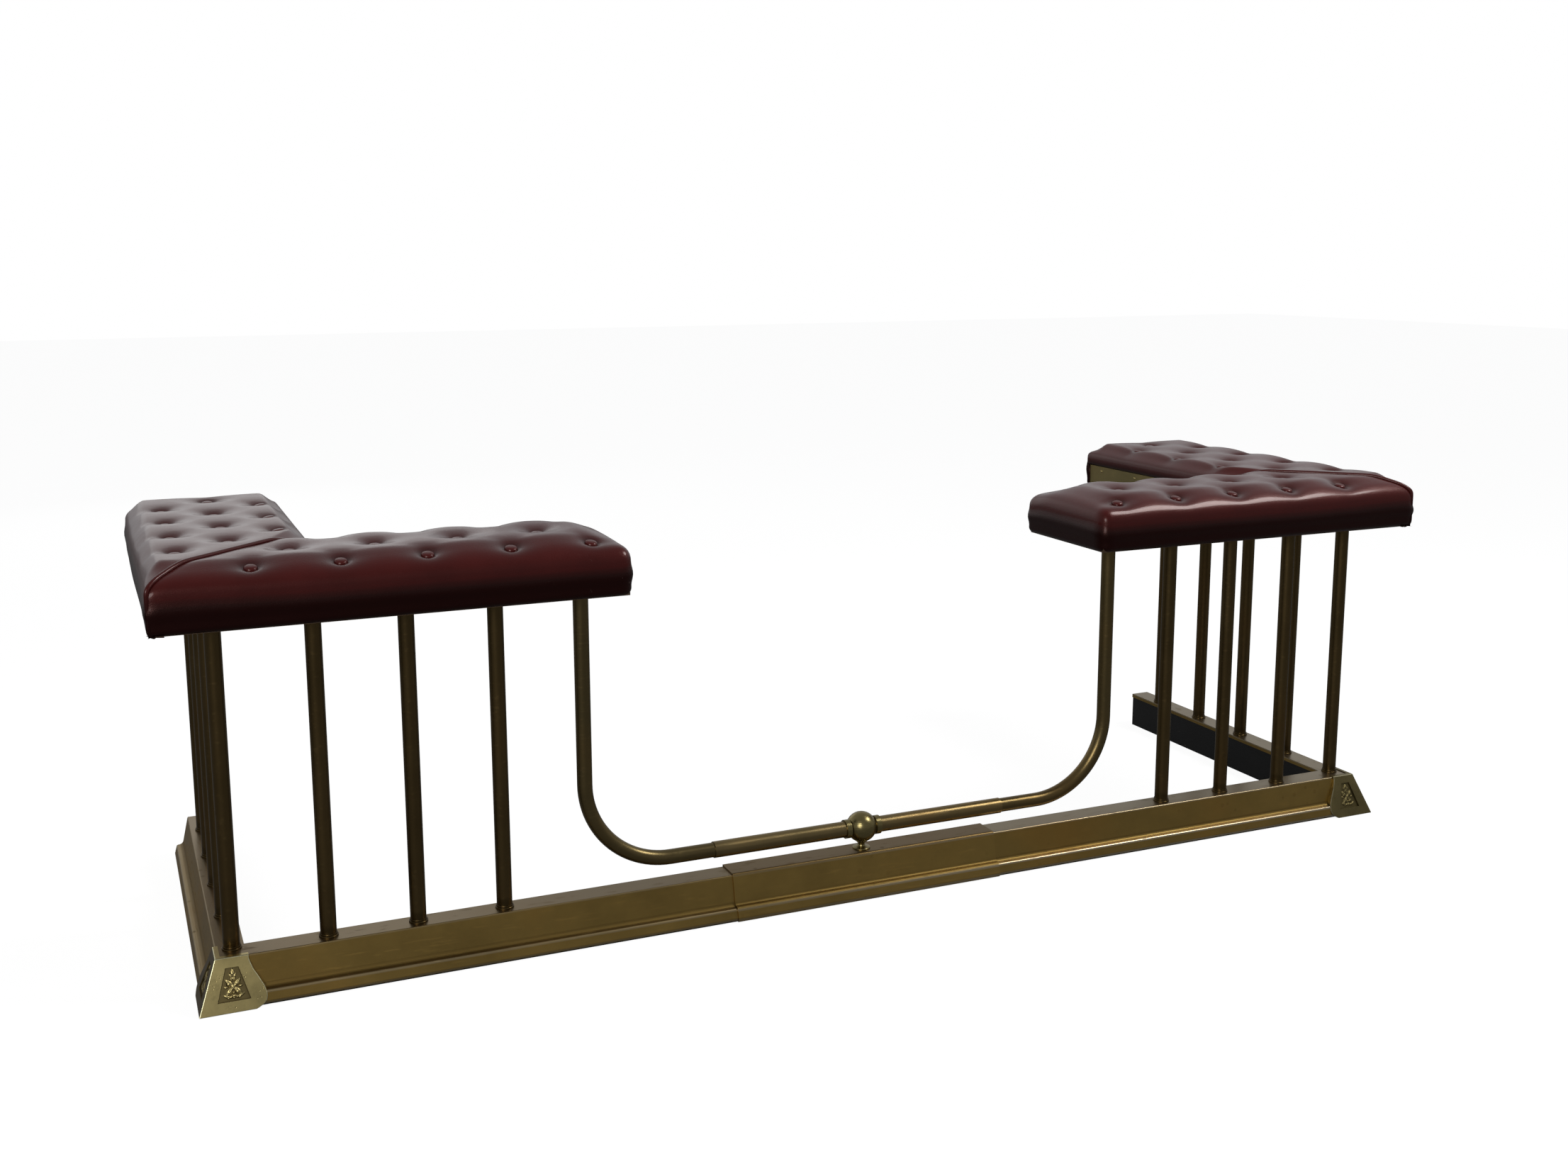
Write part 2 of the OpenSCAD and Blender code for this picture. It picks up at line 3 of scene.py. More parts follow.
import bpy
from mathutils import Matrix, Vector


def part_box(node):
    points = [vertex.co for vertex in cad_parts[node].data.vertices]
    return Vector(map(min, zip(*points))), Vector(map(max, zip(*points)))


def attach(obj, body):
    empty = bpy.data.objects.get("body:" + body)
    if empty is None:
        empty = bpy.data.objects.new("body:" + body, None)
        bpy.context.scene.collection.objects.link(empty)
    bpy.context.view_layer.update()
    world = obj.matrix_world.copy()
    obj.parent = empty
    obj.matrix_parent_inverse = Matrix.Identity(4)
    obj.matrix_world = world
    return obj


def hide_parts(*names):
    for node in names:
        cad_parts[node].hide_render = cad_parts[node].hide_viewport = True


bl_info = {
    "name": "Club fender dressing",
    "version": (1, 0, 0),
    "blender": (4, 5, 0),
    "location": "View3D > Sidebar > Fender",
    "description": "Buttoned leather seats, piping, relief castings and aged brass for a club fender",
    "category": "Object",
}

import math

import bmesh
import bpy
import numpy as np
from bpy.props import FloatProperty, FloatVectorProperty, PointerProperty
from mathutils import Matrix, Vector

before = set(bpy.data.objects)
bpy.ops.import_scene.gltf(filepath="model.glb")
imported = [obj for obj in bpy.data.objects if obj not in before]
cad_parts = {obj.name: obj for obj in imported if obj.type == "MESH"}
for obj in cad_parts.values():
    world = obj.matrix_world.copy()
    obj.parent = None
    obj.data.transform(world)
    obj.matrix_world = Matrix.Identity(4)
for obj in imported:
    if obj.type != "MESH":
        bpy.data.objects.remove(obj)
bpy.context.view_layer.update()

# The plan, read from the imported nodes
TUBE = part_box("left_front_tube_1")
FRONT_Y = (TUBE[0][1] + TUBE[1][1]) / 2  # front row of tubes
SEAT_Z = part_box("left_seat_plate")[1][2]  # underside of the seats
FRONT_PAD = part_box("left_front_cushion")
RETURN_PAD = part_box("left_return_cushion")
SEAT_X = -RETURN_PAD[0][0]  # outer side of the seats
SEAT_Y = FRONT_PAD[0][1]  # front of the seats
SEAT_W = FRONT_PAD[1][1] - FRONT_PAD[0][1]
FRONT_LEN = FRONT_PAD[1][0] + SEAT_X
RETURN_LEN = RETURN_PAD[1][1] - SEAT_Y
GUARD_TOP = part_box("left_guard_strip")[1][2] - SEAT_Z
RETURN_X = 0.805  # row of return tubes, each side, as in the part's source
SIDES = ("left", "right")

# Buttons of a seat leg, from the outer corner: the first along it, and the rows across it
BUTTON_PLAN = {"front": (0.112, (0.032, 0.098, 0.160)), "return": (0.128, (0.039, 0.101, 0.164))}
FROM_MITRE, FROM_END = 0.038, 0.032  # the least from a button to the mitre and to the leg's end
NEXT_BUTTON = 0.092  # buttons closer than this have a valley between them
SLOPE_STEP = 0.006  # from a button to where the leather's slope is read
# A button's outline as shares of its radius and heights
BUTTON_PROFILE = ((0.9, -0.0035), (0.98, -0.0012), (1.0, 0.0), (0.985, 0.0013), (0.92, 0.0023),
                  (0.78, 0.003), (0.55, 0.0035), (0.28, 0.0037), (0.06, 0.00375))

# The leather's turns: powers of the rounded corners in plan, and of the roll in section
SOFT_CORNER, SQUARE_CORNER = 2.8, 8.0
FRONT_ROLL, RETURN_ROLL, FIRE_ROLL = 2.3, 2.7, 3.2
SIDE_BANDS = 8  # bands from the rim to the turn under the board
TURN_ANGLES = (0.27, 0.52, 0.8, 1.1, 1.36, 1.57)
STRIP_HEIGHTS = (0.0062, 0.0032, 0.0014, 0.0006)  # of the first bands over the guard strip
STRIP_TUCKS = (0.0, -0.0008, -0.0026)  # how far these bands turn in
STRIP_STOPS, STRIP_FADE = 0.0125, 0.004  # from a front seat's end to its strip, and how softly it stops
BEHIND_STRIP = 0.0018  # how far the leather lies behind the strip's face
SIDE_BULGE, SIDE_WAVE = 0.0022, 0.0004
HEM, HEM_LEVEL = 0.018, -0.0003  # width of the hem under the board, and its height
ROLL_STARTS, ROLL_RUN = 0.03, 0.15  # where the corner's roll turns into the leg's own, and over what length

# The leather's top: crown, droop at the front seats' inner corner, and the mitre's seam
SIDE_RUN, END_RUN = 0.048, 0.052  # from the edges to where the crown is full
RUN_CUT = 0.026  # how much shorter these are on a return
FULL_RUN = 0.04  # from the mitre to where a return has its own shape
DROOP, DROOP_REACH = 0.006, 0.032
SEAM_DEPTH, SEAM_WIDTH = 0.004, 0.006
TOP_WAVE = 0.0006
CALM_END, CALM_FIRE = 0.45, 0.4  # how much shallower a return's tufts are at its end and fire side

# A tuft: its bowl, the dip under the button, the wide sink round it, its folds and its ring of painted shade
BOWL_SQUEEZE, BOWL_FLOOR = 1.04, 0.0055
DIP_SHARE, DIP_RADIUS = 0.24, 0.0105
SINK_SHARE, SINK_RADIUS = 0.16, 0.036
FOLD_SHARE, FOLD_RADIUS, FOLD_WIDTH = 0.05, 0.018, 0.014
RING_RADIUS, DARK_FADE = 0.0082, 0.0042
VALLEY_DEPTH, VALLEY_WIDTH = 0.0014, 0.011  # valleys from button to button

# How the sides leave the plan's outline
CORNER_DRAW, CORNER_REACH = 0.0018, 0.012  # the outer corner drawn in under the piping
FIRE_SWELL, SWELL_REACH = 0.0025, 0.013  # a return's further swell over its strip
SIDE_OUT, SIDE_REACH = 0.0034, 0.02  # a return's outer side standing out

# The corner castings: foot and lean of the sloping faces, and the sunk panel on each
CAST_FOOT = 0.0415
CAST_LEAN = math.atan((CAST_FOOT - 0.020) / 0.0582)
PANEL_LOW, PANEL_RISE = 0.013, 0.0375
PANEL_LEFT, PANEL_RIGHT, PANEL_TAPER = -0.0215, 0.015, 0.011
PANEL_GAP = 0.0003  # from the foliage to the panel's wall
PANEL_FLOOR = -0.00205  # the foliage's lowest stand-off
PANEL_ZONE = (0.0125, 0.051)  # heights in which a panel's edges lie
PANEL_REACH = (-0.0215, 0.017)  # their furthest places to the left and right
PANEL_SLOPE = 0.28

# Floor, surrounding light (height and grey), lamps, and the photo's camera
FLOOR_Z = -0.0004
ROOM = ((0.44, 0.1), (0.49, 0.42), (0.7, 0.48), (0.85, 0.3), (1.0, 0.24))
ROOM_TINT = (0.96, 0.98, 1.0)
LAMPS = (("back_softbox", (-0.6, 3.6, 1.5), (0, 0, 0.3), 2.2, 4),
         ("window_softbox", (1.85, -0.85, 2.35), (0.5, -0.2, 0.4), 1.0, 28),
         ("front_softbox", (-2.4, -3.2, 1.9), (0, -0.2, 0.3), 1.8, 52))
LAMP_COLOUR = (1, 0.99, 0.97)
CAMERA_TURN = (23.05, 9.625, -0.206)  # degrees: to the right, down, and about the view
CAMERA_PLACE = (-0.9171, -1.8523 + FRONT_Y, 0.8448)
IMAGE_WIDTH = 2212
IMAGE_SHIFT = (17.48, -85.9)

TINY = 1e-9


# ---------------------------------------------------------------- sizes and colours


class SeatSettings(bpy.types.PropertyGroup):
    """Sizes of the buttoned leather"""

    rim: FloatProperty(name="Rim height", description="Height of the leather's rim over the seat's underside",
                       default=0.061, min=0.04, max=0.08, unit="LENGTH")
    crown: FloatProperty(name="Crown", description="Rise of the crown over the rim",
                         default=0.0135, min=0.0, max=0.03, unit="LENGTH")
    edge_radius: FloatProperty(name="Corner roll",
                               description="Roll of the leather over the edges at the corner",
                               default=0.020, min=0.005, max=0.04, unit="LENGTH")
    front_radius: FloatProperty(name="Front roll", description="Roll of the leather over the front edges",
                                default=0.024, min=0.005, max=0.04, unit="LENGTH")
    side_radius: FloatProperty(name="Side roll", description="Roll of the leather over the outer side edges",
                               default=0.017, min=0.005, max=0.04, unit="LENGTH")
    fire_radius: FloatProperty(name="Fire side roll", description="Roll of the leather over the guard strip",
                               default=0.013, min=0.005, max=0.03, unit="LENGTH")
    front_end_radius: FloatProperty(name="Inner end roll",
                                    description="Roll over the front seats' inner ends",
                                    default=0.020, min=0.005, max=0.03, unit="LENGTH")
    back_end_radius: FloatProperty(name="Back end roll",
                                   description="Roll over the return seats' back ends",
                                   default=0.013, min=0.005, max=0.03, unit="LENGTH")
    overhang: FloatProperty(name="Overhang", description="Swell of the leather over the guard strip",
                            default=0.003, min=0, max=0.006, unit="LENGTH")
    bottom_radius: FloatProperty(name="Bottom radius", description="Turn of the leather under the seats",
                                 default=0.008, min=0.002, max=0.015, unit="LENGTH")
    tuft_depth: FloatProperty(name="Tuft depth", description="How far each button draws the leather down",
                              default=0.0062, min=0.0, max=0.025, unit="LENGTH")
    tuft_reach: FloatProperty(name="Tuft reach", description="Spread of the funnel round each button",
                              default=0.0165, min=0.005, max=0.05, unit="LENGTH")
    front_pitch: FloatProperty(name="Front pitch", description="Button spacing along the front seats",
                               default=0.097, min=0.05, max=0.15, unit="LENGTH")
    return_pitch: FloatProperty(name="Return pitch", description="Button spacing along the return seats",
                                default=0.108, min=0.05, max=0.15, unit="LENGTH")
    button_radius: FloatProperty(name="Button radius", description="Radius of the covered buttons",
                                 default=0.0076, min=0.003, max=0.012, unit="LENGTH")
    piping_radius: FloatProperty(name="Piping radius", description="Radius of the piping cord",
                                 default=0.0029, min=0.001, max=0.006, unit="LENGTH")
    mesh_step: FloatProperty(name="Mesh step", description="Size of the leather's mesh faces",
                             default=0.0035, min=0.002, max=0.01, unit="LENGTH")


class FinishSettings(bpy.types.PropertyGroup):
    """Colours of the finishes"""

    leather: FloatVectorProperty(name="Leather", description="Oxblood hide", subtype="COLOR",
                                 default=(0.078, 0.0066, 0.006), min=0, max=1)
    kerb: FloatVectorProperty(name="Kerb brass", description="Aged brass of the moulding", subtype="COLOR",
                              default=(0.37, 0.245, 0.073), min=0, max=1)
    tube: FloatVectorProperty(name="Tube brass", description="Darkened brass of the tubes", subtype="COLOR",
                              default=(0.135, 0.092, 0.038), min=0, max=1)
    casting: FloatVectorProperty(name="Casting brass", description="Polished brass of the castings",
                                 subtype="COLOR", default=(0.6, 0.49, 0.215), min=0, max=1)
    steel: FloatVectorProperty(name="Black steel", description="Paint on the channel and plates",
                               subtype="COLOR", default=(0.006, 0.006, 0.006), min=0, max=1)


class StageSettings(bpy.types.PropertyGroup):
    """Camera and light"""

    lens: FloatProperty(name="Lens", description="Focal length on a 36 mm sensor, in millimetres",
                        default=37.09, min=10, max=200)
    light: FloatProperty(name="Light", description="Strength of the surrounding light",
                         default=0.62, min=0, max=5)


# ---------------------------------------------------------------- shader expressions


class Value:
    """A number or colour in a node tree, which Python expressions can work on"""

    def __init__(self, graph, socket):
        self.graph = graph
        self.socket = socket

    def output(self, name):
        """Another output of the same node"""
        return Value(self.graph, self.socket.node.outputs[name])

    def maths(self, operation, *others):
        return self.graph.node("ShaderNodeMath", {"operation": operation}, dict(enumerate((self, *others))))

    def __add__(self, other):
        return self.maths("ADD", other)

    def __sub__(self, other):
        return self.maths("SUBTRACT", other)

    def __rsub__(self, other):
        return self.graph.node("ShaderNodeMath", {"operation": "SUBTRACT"}, {0: other, 1: self})

    def __mul__(self, other):
        return self.maths("MULTIPLY", other)

    __radd__ = __add__
    __rmul__ = __mul__

    def clamped(self):
        return self.graph.node("ShaderNodeClamp", {}, {"Value": self})

    def above(self, low, high):
        """0 below low, 1 over high, smooth between"""
        return self.graph.node("ShaderNodeMapRange", {"interpolation_type": "SMOOTHSTEP"},
                               {"Value": self, "From Min": low, "From Max": high})

    def near(self, middle, half):
        """1 at middle, falling to 0 at half away"""
        return 1 - (self - middle).maths("ABSOLUTE").above(half * 0.35, half)


class Graph:
    """Makes the nodes of a material or a world"""

    def __init__(self, tree):
        self.tree = tree

    def node(self, kind, settings=None, inputs=None, out=0):
        """One node: its type, its settings, its sockets' values or links, and the output to go on with"""
        made = self.tree.nodes.new(kind)
        for key, value in (settings or {}).items():
            if key == "stops":
                ramp = made.color_ramp
                while len(ramp.elements) < len(value):
                    ramp.elements.new(1)
                for element, (at, colour) in zip(ramp.elements, value):
                    element.position = at
                    element.color = (*colour, 1)
            else:
                setattr(made, key, value)
        for key, value in (inputs or {}).items():
            self.feed(made.inputs[key], value)
        return Value(self, made.outputs[out]) if made.outputs else None

    def feed(self, socket, value):
        if isinstance(value, Value):
            self.tree.links.new(value.socket, socket)
        elif isinstance(value, (tuple, list)) and len(value) == 3 and socket.type == "RGBA":
            socket.default_value = (*value, 1)
        else:
            socket.default_value = value

    def background_share(self, glossy):
        """How much of the pale background each kind of ray sees"""
        camera = self.node("ShaderNodeLightPath", out="Is Camera Ray")
        clear = camera.output("Is Transmission Ray")
        return (camera + clear + camera.output("Is Glossy Ray") * glossy).clamped()


class Finish(Graph):
    """One procedural material"""

    SOCKETS = {"colour": "Base Color", "roughness": "Roughness", "coat": "Coat Weight",
               "coat_roughness": "Coat Roughness", "specular": "Specular IOR Level", "tint": "Specular Tint"}

    def __init__(self, name, metallic=0.0):
        self.material = bpy.data.materials.new(name)
        self.material.use_nodes = True
        super().__init__(self.material.node_tree)
        self.shader = self.tree.nodes["Principled BSDF"]
        self.shader.inputs["Metallic"].default_value = metallic
        self.place = self.node("ShaderNodeTexCoord", out="Object")
        self.x = self.node("ShaderNodeSeparateXYZ", inputs={0: self.place}, out="X")
        self.z = self.x.output("Z")

    def stretched(self, x, y, z):
        return self.node("ShaderNodeMapping", {}, {"Vector": self.place, "Scale": (x, y, z)})

    def noise(self, scale, detail=3.0, rough=0.5, place=None):
        return self.node("ShaderNodeTexNoise", {}, {"Vector": place or self.place, "Scale": scale,
                                                    "Detail": detail, "Roughness": rough})

    def cells(self, scale, feature="F1"):
        return self.node("ShaderNodeTexVoronoi", {"feature": feature},
                         {"Vector": self.place, "Scale": scale}, out="Distance")

    def blend(self, amount, first, second):
        return self.node("ShaderNodeMix", {"data_type": "RGBA"}, {0: amount, 6: first, 7: second}, out=2)

    def mark(self, name):
        """A number painted on the mesh when it was made"""
        return self.node("ShaderNodeAttribute", {"attribute_name": name}, out="Fac")

    def set(self, **sockets):
        for key, value in sockets.items():
            self.feed(self.shader.inputs[self.SOCKETS[key]], value)

    def relief(self, height, distance, strength):
        bump = self.node("ShaderNodeBump", {}, {"Height": height, "Distance": distance, "Strength": strength})
        self.feed(self.shader.inputs["Normal"], bump)


def scaled(colour, *by):
    """A colour times one number, or times one number for each channel"""
    return tuple(min(1.0, c * b) for c, b in zip(colour, by if len(by) == 3 else by * 3))


def oxblood_leather(name, colour):
    """Waxed hide: pebbled grain, mottled dye, painted shade in the tufts, seams and down the sides, and
    rubbing with a painted highlight on the ridges
    """
    f = Finish(name)
    mottle = f.noise(34, 5, 0.6)
    cloud = f.noise(7, 2)
    fold = f.mark("fold")
    ridge = f.mark("ridge")
    side = f.mark("side")
    scuff = f.mark("scuff")
    dye_and_painted_light = f.blend((mottle * 0.6 + cloud * 0.5 - 0.1).clamped(), scaled(colour, 0.62), scaled(colour, 1.25))
    # Painted highlight, partly rubbing: lighter on the ridges between tufts, near the top of the sides, high
    # on the piping and on the button caps
    dye_and_painted_light = f.blend((ridge * (0.35 + mottle * 0.5)).clamped(), dye_and_painted_light, scaled(colour, 1.3))
    # Painted shade in the tufts, round the buttons, along the seam, in the turn under the board and in the
    # hem
    dye_and_painted_light = f.blend((fold * 0.85).clamped(), dye_and_painted_light, scaled(colour, 0.3))
    # Painted shade: darker on the rolled edges, deepening down the sides and under the board
    dye_and_painted_light = f.blend((side * 1.6).clamped(), dye_and_painted_light, scaled(colour, 0.1))
    specks = f.cells(190).above(0.05, 0.03) * f.noise(14, 3).above(0.6, 0.66) * scuff
    scratches = f.noise(90, 4, 0.7).above(0.66, 0.72) * (scuff - 0.55).clamped() * 1.6
    worn = (specks + scratches).clamped()
    dye_and_painted_light = f.blend(worn, dye_and_painted_light, (0.34, 0.24, 0.2))
    grain = f.cells(760) * 0.55 + f.cells(1900, "SMOOTH_F1") * 0.2
    creases = f.noise(95, 6, 0.62).near(0.5, 0.05) * (0.15 + fold * 0.5)
    f.set(colour=dye_and_painted_light, roughness=(0.25 + mottle * 0.14 + fold * 0.12 + worn * 0.3), specular=0.34,
          tint=(1.0, 0.5, 0.45), coat=(0.4 - side * 0.5).clamped(), coat_roughness=0.12)
    f.relief(grain - creases * 0.5 + f.noise(22, 3) * 0.9, 0.0005, 0.36)
    return f.material


def aged_brass(name, colour, along=(1, 1, 1), roughness=0.36, tarnish=0.6, kerb=False, tube=False):
    """Old lacquered brass: blotched tarnish, drawn streaks, spots and fine scratches; on the kerb, bright
    edges that are partly worn and partly painted highlight, a darker band above the foot bead and painted
    shade on the top face
    """
    f = Finish(name, metallic=1.0)
    blotch = f.noise(9, 6, 0.62)
    streak = f.noise(26, 5, 0.6, place=f.stretched(*along))
    spots = f.cells(46).above(0.2, 0.08) * f.noise(13, 2).above(0.5, 0.6)
    base = f.blend((blotch * 1.5 - 0.35).clamped(), scaled(colour, 1 - tarnish * 0.5), scaled(colour, 1.28))
    base = f.blend((streak * 1.1 - 0.3).clamped(), base, scaled(colour, 0.8))
    base = f.blend(f.noise(4.5, 3).above(0.5, 0.72) * 0.55, base, scaled(colour, 0.92, 0.74, 0.56))
    base = f.blend((spots * 0.6 * tarnish).clamped(), base, scaled(colour, 0.35))
    rough = roughness + blotch * 0.16 + spots * 0.15 - 0.06
    bump = streak * 0.25 + spots * 0.5 + f.noise(420, 2) * 0.12
    if kerb:
        # Pale bands on the top edge, the foot bead and the bottom edge: partly worn brass, partly painted
        # highlight, stronger towards the right
        glint_to_right = f.x.above(-0.3, 0.5) * 0.6 + 0.4
        worn = f.z.near(0.0562, 0.0016) * 0.6 + f.z.near(0.0165, 0.0021) + f.z.near(0.0042, 0.0022)
        worn = worn.clamped() * glint_to_right
        # A darker band about 20 mm up, just above the foot bead, also a little rougher
        band_over_bead = f.z.near(0.0205, 0.0042) * (0.3 + blotch * 0.4)
        base = f.blend(band_over_bead.clamped(), base, scaled(colour, 0.2))
        # Painted shade: the top face is darker and greyer
        base = f.blend(f.z.above(0.0565, 0.0569) * 0.75, base, scaled(colour, 0.34, 0.34, 0.53))
        base = f.blend((worn * (0.45 + streak * 0.5)).clamped(), base, (0.56, 0.5, 0.38))
        rough = rough - worn * 0.1 + band_over_bead * 0.15
    if tube:
        foot = f.z.near(0.062, 0.012)
        base = f.blend((foot * 0.6).clamped(), base, scaled(colour, 0.45))
    drawn = f.stretched(along[0] * 0.5 + 0.1, along[1] * 0.5 + 0.1, along[2] + 1.5)
    rough = rough + f.noise(210, 2, 0.4, place=drawn).above(0.62, 0.7) * 0.12
    f.set(colour=base, roughness=rough.clamped())
    f.relief(bump, 0.00022, 0.5)
    return f.material


def cast_brass(name, colour, dull_and_shaded=0.0):
    """Polished casting: warm, lightly pitted, dark oxide in the sunk panels, painted shade on the faces
    towards the return
    """
    f = Finish(name, metallic=1.0)
    blotch = f.noise(24, 6, 0.62)
    pits = f.cells(330).above(0.3, 0.1) * f.noise(40, 3).above(0.48, 0.6)
    sunk = f.mark("sunk")
    rim = f.mark("rim")
    # A duller casting is also painted darker, as shade
    base = f.blend((blotch * 1.4 - 0.3).clamped(),
                   scaled(colour, 0.66 - dull_and_shaded * 0.2), scaled(colour, 1.18 - dull_and_shaded * 0.25))
    base = f.blend(f.noise(70, 4, 0.7).above(0.55, 0.7) * 0.4, base, scaled(colour, 0.5))
    brown = scaled(colour, 0.2, 0.17, 0.16)
    # Painted shade: the faces towards the return are darker brown
    base = f.blend((f.mark("patina") * (0.72 + blotch * 0.3)).clamped(), base, brown)
    base = f.blend((sunk * (0.92 - dull_and_shaded * 0.75)).clamped(), base, scaled(brown, 0.55))
    base = f.blend((pits * 0.55).clamped(), base, scaled(colour, 0.3))
    base = f.blend((rim * 0.8).clamped(), base, scaled(colour, 1.45))
    f.set(colour=base, roughness=(0.24 + dull_and_shaded * 0.1 + blotch * 0.18 + sunk * 0.22 + pits * 0.1).clamped())
    f.relief(blotch * 0.5 - pits * 0.6 + f.noise(160, 4) * 0.3, 0.0004, 0.5)
    return f.material


def black_paint(name, colour):
    """Brushed black paint on steel, dusty and chipped here and there"""
    f = Finish(name)
    dust = f.noise(18, 5, 0.6)
    chips = f.cells(90).above(0.1, 0.05) * f.noise(14, 3).above(0.56, 0.64)
    tone = f.blend((dust * 1.2 - 0.3).clamped(), colour, scaled(colour, 2.6))
    tone = f.blend(chips.clamped(), tone, (0.16, 0.13, 0.11))
    f.set(colour=tone, roughness=(0.36 + dust * 0.25 + chips * 0.2).clamped(), specular=0.3)
    f.relief(f.noise(300, 3, place=f.stretched(0.25, 0.25, 1)) * 0.6 - chips, 0.0003, 0.5)
    return f.material


def plain_steel(name):
    """Turned and plated steel with light rust bloom"""
    f = Finish(name, metallic=1.0)
    rings = f.noise(700, 2, place=f.stretched(0.2, 0.2, 1))
    rust = f.noise(60, 5, 0.6).above(0.56, 0.7)
    tone = f.blend(rings, (0.32, 0.32, 0.32), (0.5, 0.5, 0.49))
    tone = f.blend((rust * 0.6).clamped(), tone, (0.12, 0.055, 0.025))
    f.set(colour=tone, roughness=(0.32 + rings * 0.15 + rust * 0.3).clamped())
    f.relief(rings, 0.0001, 0.5)
    return f.material


def stained_ply(name):
    """Dark-stained plywood: long grain with pores"""
    f = Finish(name)
    grain = f.noise(55, 7, 0.65, place=f.stretched(0.12, 1, 1))
    pores = f.noise(420, 2, place=f.stretched(0.05, 1, 1)).above(0.58, 0.66)
    tone = f.blend((grain * 1.5 - 0.3).clamped(), (0.045, 0.024, 0.012), (0.13, 0.075, 0.038))
    tone = f.blend((pores * 0.6).clamped(), tone, (0.02, 0.012, 0.008))
    f.set(colour=tone, roughness=(0.5 + grain * 0.25).clamped())
    f.relief(grain - pores * 0.4, 0.0004, 0.5)
    return f.material


# ---------------------------------------------------------------- mesh making


def painted(mesh, domain="POINT", **marks):
    """Stores numbers on a mesh's points or faces, which its finish reads"""
    for key, values in marks.items():
        layer = mesh.attributes.new(key, "FLOAT", domain)
        layer.data.foreach_set("value", np.broadcast_to(np.float32(values), len(layer.data)).copy())


def placed_in_scene(name, data):
    thing = bpy.data.objects.new(name, data)
    bpy.context.scene.collection.objects.link(thing)
    return thing


def made_piece(name, verts, faces, material, body, marks, flip=False):
    """A smooth mesh object that rides on a body, with its finish and its painted marks"""
    mesh = bpy.data.meshes.new(name)
    mesh.from_pydata([tuple(v) for v in verts], [], [tuple(reversed(f)) if flip else tuple(f) for f in faces])
    mesh.validate()
    mesh.materials.append(material)
    painted(mesh, **marks)
    mesh.polygons.foreach_set("use_smooth", [True] * len(mesh.polygons))
    piece = placed_in_scene(name, mesh)
    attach(piece, body)
    return piece


def lines(length, step, first, last):
    """Grid lines from 0 to length, closer together in the rounded edges at both ends"""
    near = 1 - np.sin(np.linspace(math.pi / 2, 0, 10)[:-1])
    count = max(2, int(round((length - first - last) / step)))
    middle = np.linspace(first, length - last, count + 1)
    return np.concatenate([near * first, middle, length - near[::-1] * last])


def smooth_step(x):
    x = np.clip(x, 0, 1)
    return x * x * (3 - 2 * x)


def wave(a, c, seed):
    """Slow unevenness, the same on every run"""
    r = np.random.RandomState(seed)
    total = np.zeros_like(a)
    for _ in range(7):
        ka, kc = r.uniform(-42, 42, 2)
        total += np.sin(ka * a + kc * c + r.uniform(0, 6.28)) * r.uniform(0.4, 1)
    return total / 4


def leg_buttons(pitch, first, length, rows):
    """Buttons of one seat leg as (along, across) from the outer corner"""
    found = []
    for row, across in enumerate(rows):
        for k in range(10):
            along = first + pitch * k + (pitch / 2 if row == 1 else 0)
            if across + FROM_MITRE < along < length - FROM_END:
                found.append((along, across))
    return found


